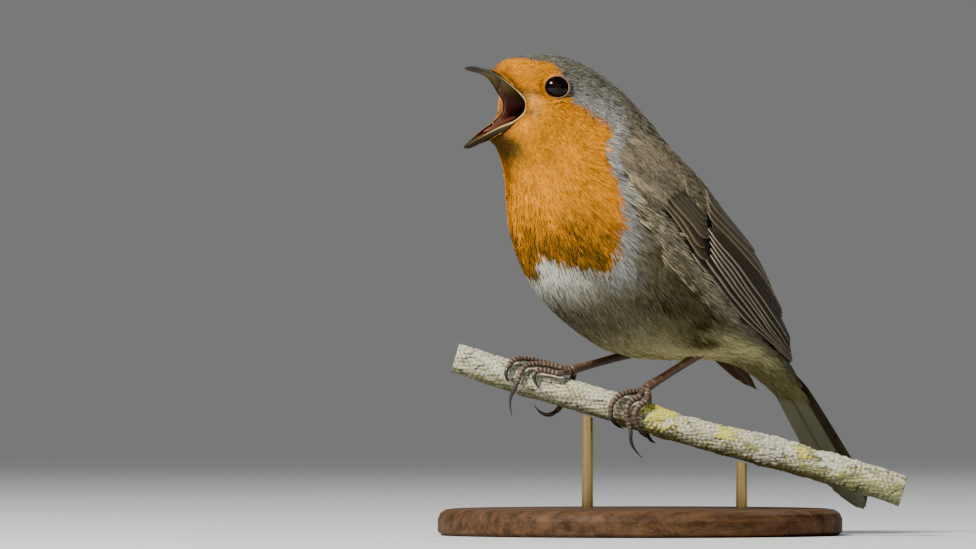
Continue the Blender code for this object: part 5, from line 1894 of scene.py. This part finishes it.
def toe(line, outward, foot, settings):
    """Rings round a toe and their paint, from inside the foot and along its line, with scutes above and pads
    below."""
    root = line[0] + (foot - line[0]) * np.linspace(0.85, 0, TOE_ROOT_ROWS)[:-1, None]
    path = np.concatenate([root, line])
    up = np.concatenate([np.repeat(outward[:1], len(root), axis=0), outward])
    way = np.concatenate([[0], np.cumsum(np.linalg.norm(np.diff(path, axis=0), axis=1))])
    share = way / way[-1]
    turns = circle(TOE_SIDES)
    rise = scutes(way, *TOE_SCUTE)
    top = smooth(0.3 + 1.3 * np.sin(turns))
    pads = np.sin(way * 2 * math.pi / PAD_LENGTH)[:, None] * smooth(-1.4 * np.sin(turns))
    radii = along_it(TOE_RADII, share) * table_at(TOE_END, share)
    rings = tube_rings(path, up, radii, TOE_SIDES, 1 + 0.13 * (rise - 0.5) * top + 0.11 * pads, flat=0.92)
    pale = rgb(settings.leg_pale)
    # pale tops of the scutes, partly their worn edges and partly a painted highlight
    paint = lerp(rgb(settings.leg), pale, (0.40 * step(rise, 0.72, 0.92) * top)[..., None])
    paint = lerp(paint, pale * PAD_TINT, (0.35 * smooth(-1.2 * np.sin(turns)))[:, None])
    return rings, paint * (1 + 0.15 * ripple(rings, 1.5, 54))[..., None]


def claw(line, outward, settings):
    """Rings round a claw along its line and their paint, darker towards its point."""
    way = np.linspace(0, 1, len(line))
    radii = even(CLAW_RADII, len(line))[:, 0] * (0.9 + 0.1 * smooth(way * 6))
    line, outward, radii, way = (v[::CLAW_STEP] for v in (line, outward, radii, way))
    rings = tube_rings(line, outward, radii, CLAW_SIDES, flat=1.15)
    horn = rgb(settings.horn)
    return rings, lerp(horn * 1.5, horn * 0.6, way[:, None, None]) * np.ones_like(rings)


def build_leg(side, settings, plumage, hide, horn):
    """One thigh's tufts, its shank and toes as one piece, and its claws as another."""
    rng = np.random.default_rng(71 + len(side))
    build_thigh(side, plumage, rng)
    distance, degrees, height = FEET[side]
    foot = perch_point(distance, math.radians(degrees), height)
    solids, claws = [shank(side, foot, settings)], []
    for name in TOE_NUMBERS:
        rows = TOES[side, name]
        line = even([perch_point(s, math.radians(a), d) for s, a, d in rows], TOE_ROWS)
        outward = unit(line - even([perch_point(s, 0.0, 0.0) for s, _, _ in rows], TOE_ROWS))
        cut = round((len(rows) - CLAW_POINTS) / (len(rows) - 1) * (TOE_ROWS - 1))
        solids.append(toe(line[: cut + 1], outward[: cut + 1], foot, settings))
        claws.append(claw(line[cut - CLAW_OVERLAP :], outward[cut - CLAW_OVERLAP :], settings))
    toes, points = ([f"{kind}_{side}_{name}" for name in TOE_NUMBERS] for kind in ("toe", "claw"))
    for title, parts, made, nodes, slot in (
        (f"leg_{side}", solids, hide, (f"shank_{side}", *toes), "leg_skin"),
        (f"claws_{side}", claws, horn, points, "horn"),
    ):
        piece = add_mesh(title, *joined(parts, made))
        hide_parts(*nodes)


def joined(parts, material):
    """Points, faces, material and paint of one mesh from the rings and paint of several closed solids."""
    points, faces, paint = [], [], []
    start = 0
    for rings, tones in parts:
        spots, groups = ring_solid(rings)
        points.append(spots)
        faces.extend(group + start for group in groups)
        paint.append(ring_values(tones).reshape(-1, 3))
        start += len(spots)
    return np.concatenate(points), faces, material, np.concatenate(paint)


def build_legs(settings, plumage):
    """Feathered thighs, shanks with overlapping scutes, toes with scutes above and pads below, and claws."""
    hide = painted("leg_hide", 0.35, 0.05, grain=0.25, Roughness=0.50)
    horn = painted("claw_horn", 0.4, 0.02, grain=0.2, Roughness=0.30)
    for side, _ in SIDES:
        build_leg(side, settings, plumage, hide, horn)


# ---------------------------------------------------------------- stand and stage

WOOD_STRETCH = (1.0, 9.0, 9.0)  # how much finer the wood's noise is across the grain than along it
BRUSH_STRETCH = (1, 1, 0.05)
WOOD_DARK, WOOD_LIGHT, BRASS_DULL = 0.42, 1.55, 0.8  # tones over the finish's own colour


def wood_finish(settings):
    """Stained wood: long noise and finer pores as grain, which is also a little shinier where it is pale."""
    wood, feed, wire = finish("stand_wood", Specular_IOR_Level=0.2)
    place = mapped(wire, WOOD_STRETCH)
    grain = noise_at(wire, 24.0, 6.0, 0.6, source=place)
    pores = noise_at(wire, 3.0, 2.0, 0.5, source=place)
    shade = (grain * 0.75 + pores * 0.25).between(0.32, 0.68)
    dark = rgb(settings.wood) * WOOD_DARK
    light = np.minimum(rgb(settings.wood) * WOOD_LIGHT, 1)
    feed("Base Color", shade.mix(colour(*dark), colour(*light)))
    feed("Roughness", shade * -0.12 + 0.72)
    feed("Normal", bump_from(wire, pores, 0.05))
    return wood


def brass_finish(settings):
    """Brushed brass with duller patches."""
    brass, feed, wire = finish("brass", Metallic=1.0)
    brushed = noise_at(wire, 0.6, 3.0, 0.6, source=mapped(wire, BRUSH_STRETCH))
    dull = noise_at(wire, 9.0)
    base = rgb(settings.brass)
    feed("Base Color", dull.between(0.35, 0.75).mix(colour(*(base * BRASS_DULL)), colour(*base)))
    feed("Roughness", brushed * 0.22 + dull * 0.12 + 0.14)
    feed("Normal", bump_from(wire, brushed, 0.015))
    return brass


def build_stand(settings):
    """Finishes for the stand's own solids: a wooden base and brass rods."""
    wood = wood_finish(settings)
    brass = brass_finish(settings)
    for name, made in (("stand_base", wood), ("stand_rod_front", brass), ("stand_rod_back", brass)):
        for place in bpy.data.objects[name].material_slots:
            place.material = made


LIGHTS = (
    # name, right, up and towards the camera from the aim in metres, size, power in watts, colour
    ("key", -0.56, 0.90, 0.64, 0.28, 50.0, (1.0, 0.95, 0.86)),
    ("fill", 0.90, 0.30, 1.10, 1.60, 2.4, (1.0, 1.0, 1.0)),
    ("rim", 0.45, 0.80, -1.00, 0.90, 5.0, (1.0, 1.0, 1.0)),
)
FLOOR_RADIUS, FLOOR_RINGS, FLOOR_SIDES = 2000.0, 23, 96
FLOOR_DROP = 0.05  # how far the floor lies under the stand
FLOOR_FADE = (1.9, 0.30)  # metres from the middle where the floor has faded out, and where it begins to
AIR_TINT = (1.04, 1.0, 0.94)
AIR_STRENGTH = 0.48
SENSOR_WIDTH = 36.0
CLIP = (0.1, 30.0)  # what the camera sees from and to, in metres


def build_floor(settings):
    """A round floor that fades out with distance: rings of quads, and a fan of triangles in the middle."""
    floor, feed, wire = finish("floor", Roughness=0.8)
    place = wire.node("TexCoord", output=3)
    far = wire.node("VectorMath", {"operation": "LENGTH"}, {0: place}, output=1)
    feed("Alpha", far.between(*FLOOR_FADE))
    clouds = noise_at(wire, 30.0).between(0.2, 0.8)
    feed("Base Color", clouds.mix(colour(*(rgb(settings.floor) * 0.97)), colour(*settings.floor)))
    turns = circle(FLOOR_SIDES)
    radius = np.linspace(0.0, FLOOR_RADIUS, FLOOR_RINGS + 1)[1:, None]
    drop = 0 * radius * turns - FLOOR_DROP
    rings = np.stack([radius * np.cos(turns), radius * np.sin(turns), drop], axis=-1)
    points = np.concatenate([rings.reshape(-1, 3), [(0, 0, -FLOOR_DROP)]])
    first = np.arange(FLOOR_SIDES)
    hub = np.stack([np.full(FLOOR_SIDES, len(points) - 1), (first + 1) % FLOOR_SIDES, first], axis=1)
    quads = grid_faces(FLOOR_RINGS, FLOOR_SIDES, closed=True)
    mesh = bpy.data.meshes.new("floor")
    mesh.from_pydata((points * MM).tolist(), [], quads.tolist() + hub.tolist())
    mesh.materials.append(floor)
    placed("floor", mesh)


def placed(name, data, place=None):
    """An object in the scene with this data, at a place if one is given."""
    made = bpy.data.objects.new(name, data)
    if place is not None:
        made.matrix_world = place
    bpy.context.scene.collection.objects.link(made)
    return made


def build_air(settings):
    """Even light from all round, in a warmer tone of the floor's colour."""
    world = bpy.data.worlds.new("air")
    world.use_nodes = True
    air = world.node_tree.nodes["Background"].inputs
    air["Color"].default_value = colour(*(rgb(settings.floor) * AIR_TINT))
    air["Strength"].default_value = AIR_STRENGTH
    bpy.context.scene.world = world
    bpy.context.scene.view_settings.look = "AgX - Punchy"


def build_stage(settings):
    """The floor, a soft key light high on the left, a fill, a light from behind, and the camera."""
    build_floor(settings)
    build_air(settings)
    aim = np.array(settings.aim)
    right = np.array((math.cos(settings.azimuth), math.sin(settings.azimuth), 0.0))
    back = np.array((right[1], -right[0], 0.0))
    up = np.array((0.0, 0.0, 1.0))
    for name, across, high, towards, size, power, tint in LIGHTS:
        lamp = bpy.data.lights.new(name, "AREA")
        lamp.shape = "DISK"
        lamp.size = size
        lamp.energy = power
        lamp.color = tint
        placed(name, lamp, facing(aim + right * across + up * high + back * towards, aim))
    lens = bpy.data.cameras.new("camera")
    lens.sensor_width = SENSOR_WIDTH
    lens.lens = settings.distance * SENSOR_WIDTH / settings.frame_width
    lens.clip_start, lens.clip_end = CLIP
    bpy.context.scene.camera = placed("camera", lens, facing(aim + back * settings.distance, aim))


def facing(place, aim):
    """A matrix that puts an object at a place, looking at the aim with its own -Z."""
    place = Vector(place)
    turn = (Vector(aim) - place).to_track_quat("-Z", "Y")
    return Matrix.Translation(place) @ turn.to_matrix().to_4x4()


# ---------------------------------------------------------------- the add-on


class RobinPiece:
    """What every operator of this add-on shares."""

    bl_options = {"REGISTER", "UNDO"}

    def execute(self, context):
        self.make(context.scene.robin)
        return {"FINISHED"}


class ROBIN_OT_skin(RobinPiece, bpy.types.Operator):
    """Make the skin and the lining of the mouth"""

    bl_idname = "robin.build_skin"
    bl_label = "Skin"

    def make(self, robin):
        build_skin(robin.plumage, robin.hard)


class ROBIN_OT_coat(RobinPiece, bpy.types.Operator):
    """Cover the skin with tufts of small feathers"""

    bl_idname = "robin.build_coat"
    bl_label = "Coat"

    def make(self, robin):
        build_coat(robin.plumage)
        build_bristles(robin.plumage)
        build_flank_fluff(robin.plumage)


class ROBIN_OT_wings(RobinPiece, bpy.types.Operator):
    """Lay the feathers of both folded wings"""

    bl_idname = "robin.build_wings"
    bl_label = "Wings"

    def make(self, robin):
        build_wings(robin.plumage, robin.quills)


class ROBIN_OT_tail(RobinPiece, bpy.types.Operator):
    """Lay the feathers of the tail"""

    bl_idname = "robin.build_tail"
    bl_label = "Tail"

    def make(self, robin):
        build_tail(robin.quills)


class ROBIN_OT_bill(RobinPiece, bpy.types.Operator):
    """Make the open bill, the rim of the gape and the tongue"""

    bl_idname = "robin.build_bill"
    bl_label = "Bill"

    def make(self, robin):
        build_bill(robin.hard)


class ROBIN_OT_eyes(RobinPiece, bpy.types.Operator):
    """Make the eyes and their lids"""

    bl_idname = "robin.build_eyes"
    bl_label = "Eyes"

    def make(self, robin):
        build_eyes(robin.hard, robin.plumage)


class ROBIN_OT_legs(RobinPiece, bpy.types.Operator):
    """Make the legs, toes and claws"""

    bl_idname = "robin.build_legs"
    bl_label = "Legs"

    def make(self, robin):
        build_legs(robin.hard, robin.plumage)


class ROBIN_OT_perch(RobinPiece, bpy.types.Operator):
    """Make the branch that the bird grips"""

    bl_idname = "robin.build_perch"
    bl_label = "Perch"

    def make(self, robin):
        build_perch(robin.perch)


class ROBIN_OT_stand(RobinPiece, bpy.types.Operator):
    """Finish the display stand in wood and brass"""

    bl_idname = "robin.build_stand"
    bl_label = "Stand"

    def make(self, robin):
        build_stand(robin.perch)


class ROBIN_OT_stage(RobinPiece, bpy.types.Operator):
    """Lay the floor and set the lights and the camera"""

    bl_idname = "robin.build_stage"
    bl_label = "Stage"

    def make(self, robin):
        build_stage(robin.stage)


OPERATORS = (
    ROBIN_OT_skin, ROBIN_OT_coat, ROBIN_OT_wings, ROBIN_OT_tail, ROBIN_OT_bill, ROBIN_OT_eyes, ROBIN_OT_legs,
    ROBIN_OT_perch, ROBIN_OT_stand, ROBIN_OT_stage,
)


class ROBIN_PT_panel(bpy.types.Panel):
    """The settings, and a button for each piece"""

    bl_idname = "ROBIN_PT_panel"
    bl_label = "Singing Robin"
    bl_space_type = "VIEW_3D"
    bl_region_type = "UI"
    bl_category = "Robin"

    def draw(self, context):
        robin = context.scene.robin
        for name, group in GROUPS.items():
            box = self.layout.box()
            box.label(text=name.title())
            for key in group.__annotations__:
                box.prop(getattr(robin, name), key)
        for operator in OPERATORS:
            self.layout.operator(operator.bl_idname)


CLASSES = (*GROUPS.values(), ROBIN_PG_all, *OPERATORS, ROBIN_PT_panel)


def register():
    """Add the classes to Blender, and the settings to every scene."""
    for kind in CLASSES:
        bpy.utils.register_class(kind)
    bpy.types.Scene.robin = bpy.props.PointerProperty(type=ROBIN_PG_all)


def unregister():
    """Take the settings and the classes away again."""
    del bpy.types.Scene.robin
    for kind in reversed(CLASSES):
        bpy.utils.unregister_class(kind)


def main():
    """Run every operator in turn."""
    register()
    for operator in OPERATORS:
        group, name = operator.bl_idname.split(".")
        getattr(getattr(bpy.ops, group), name)()


if __name__ == "__main__":
    main()
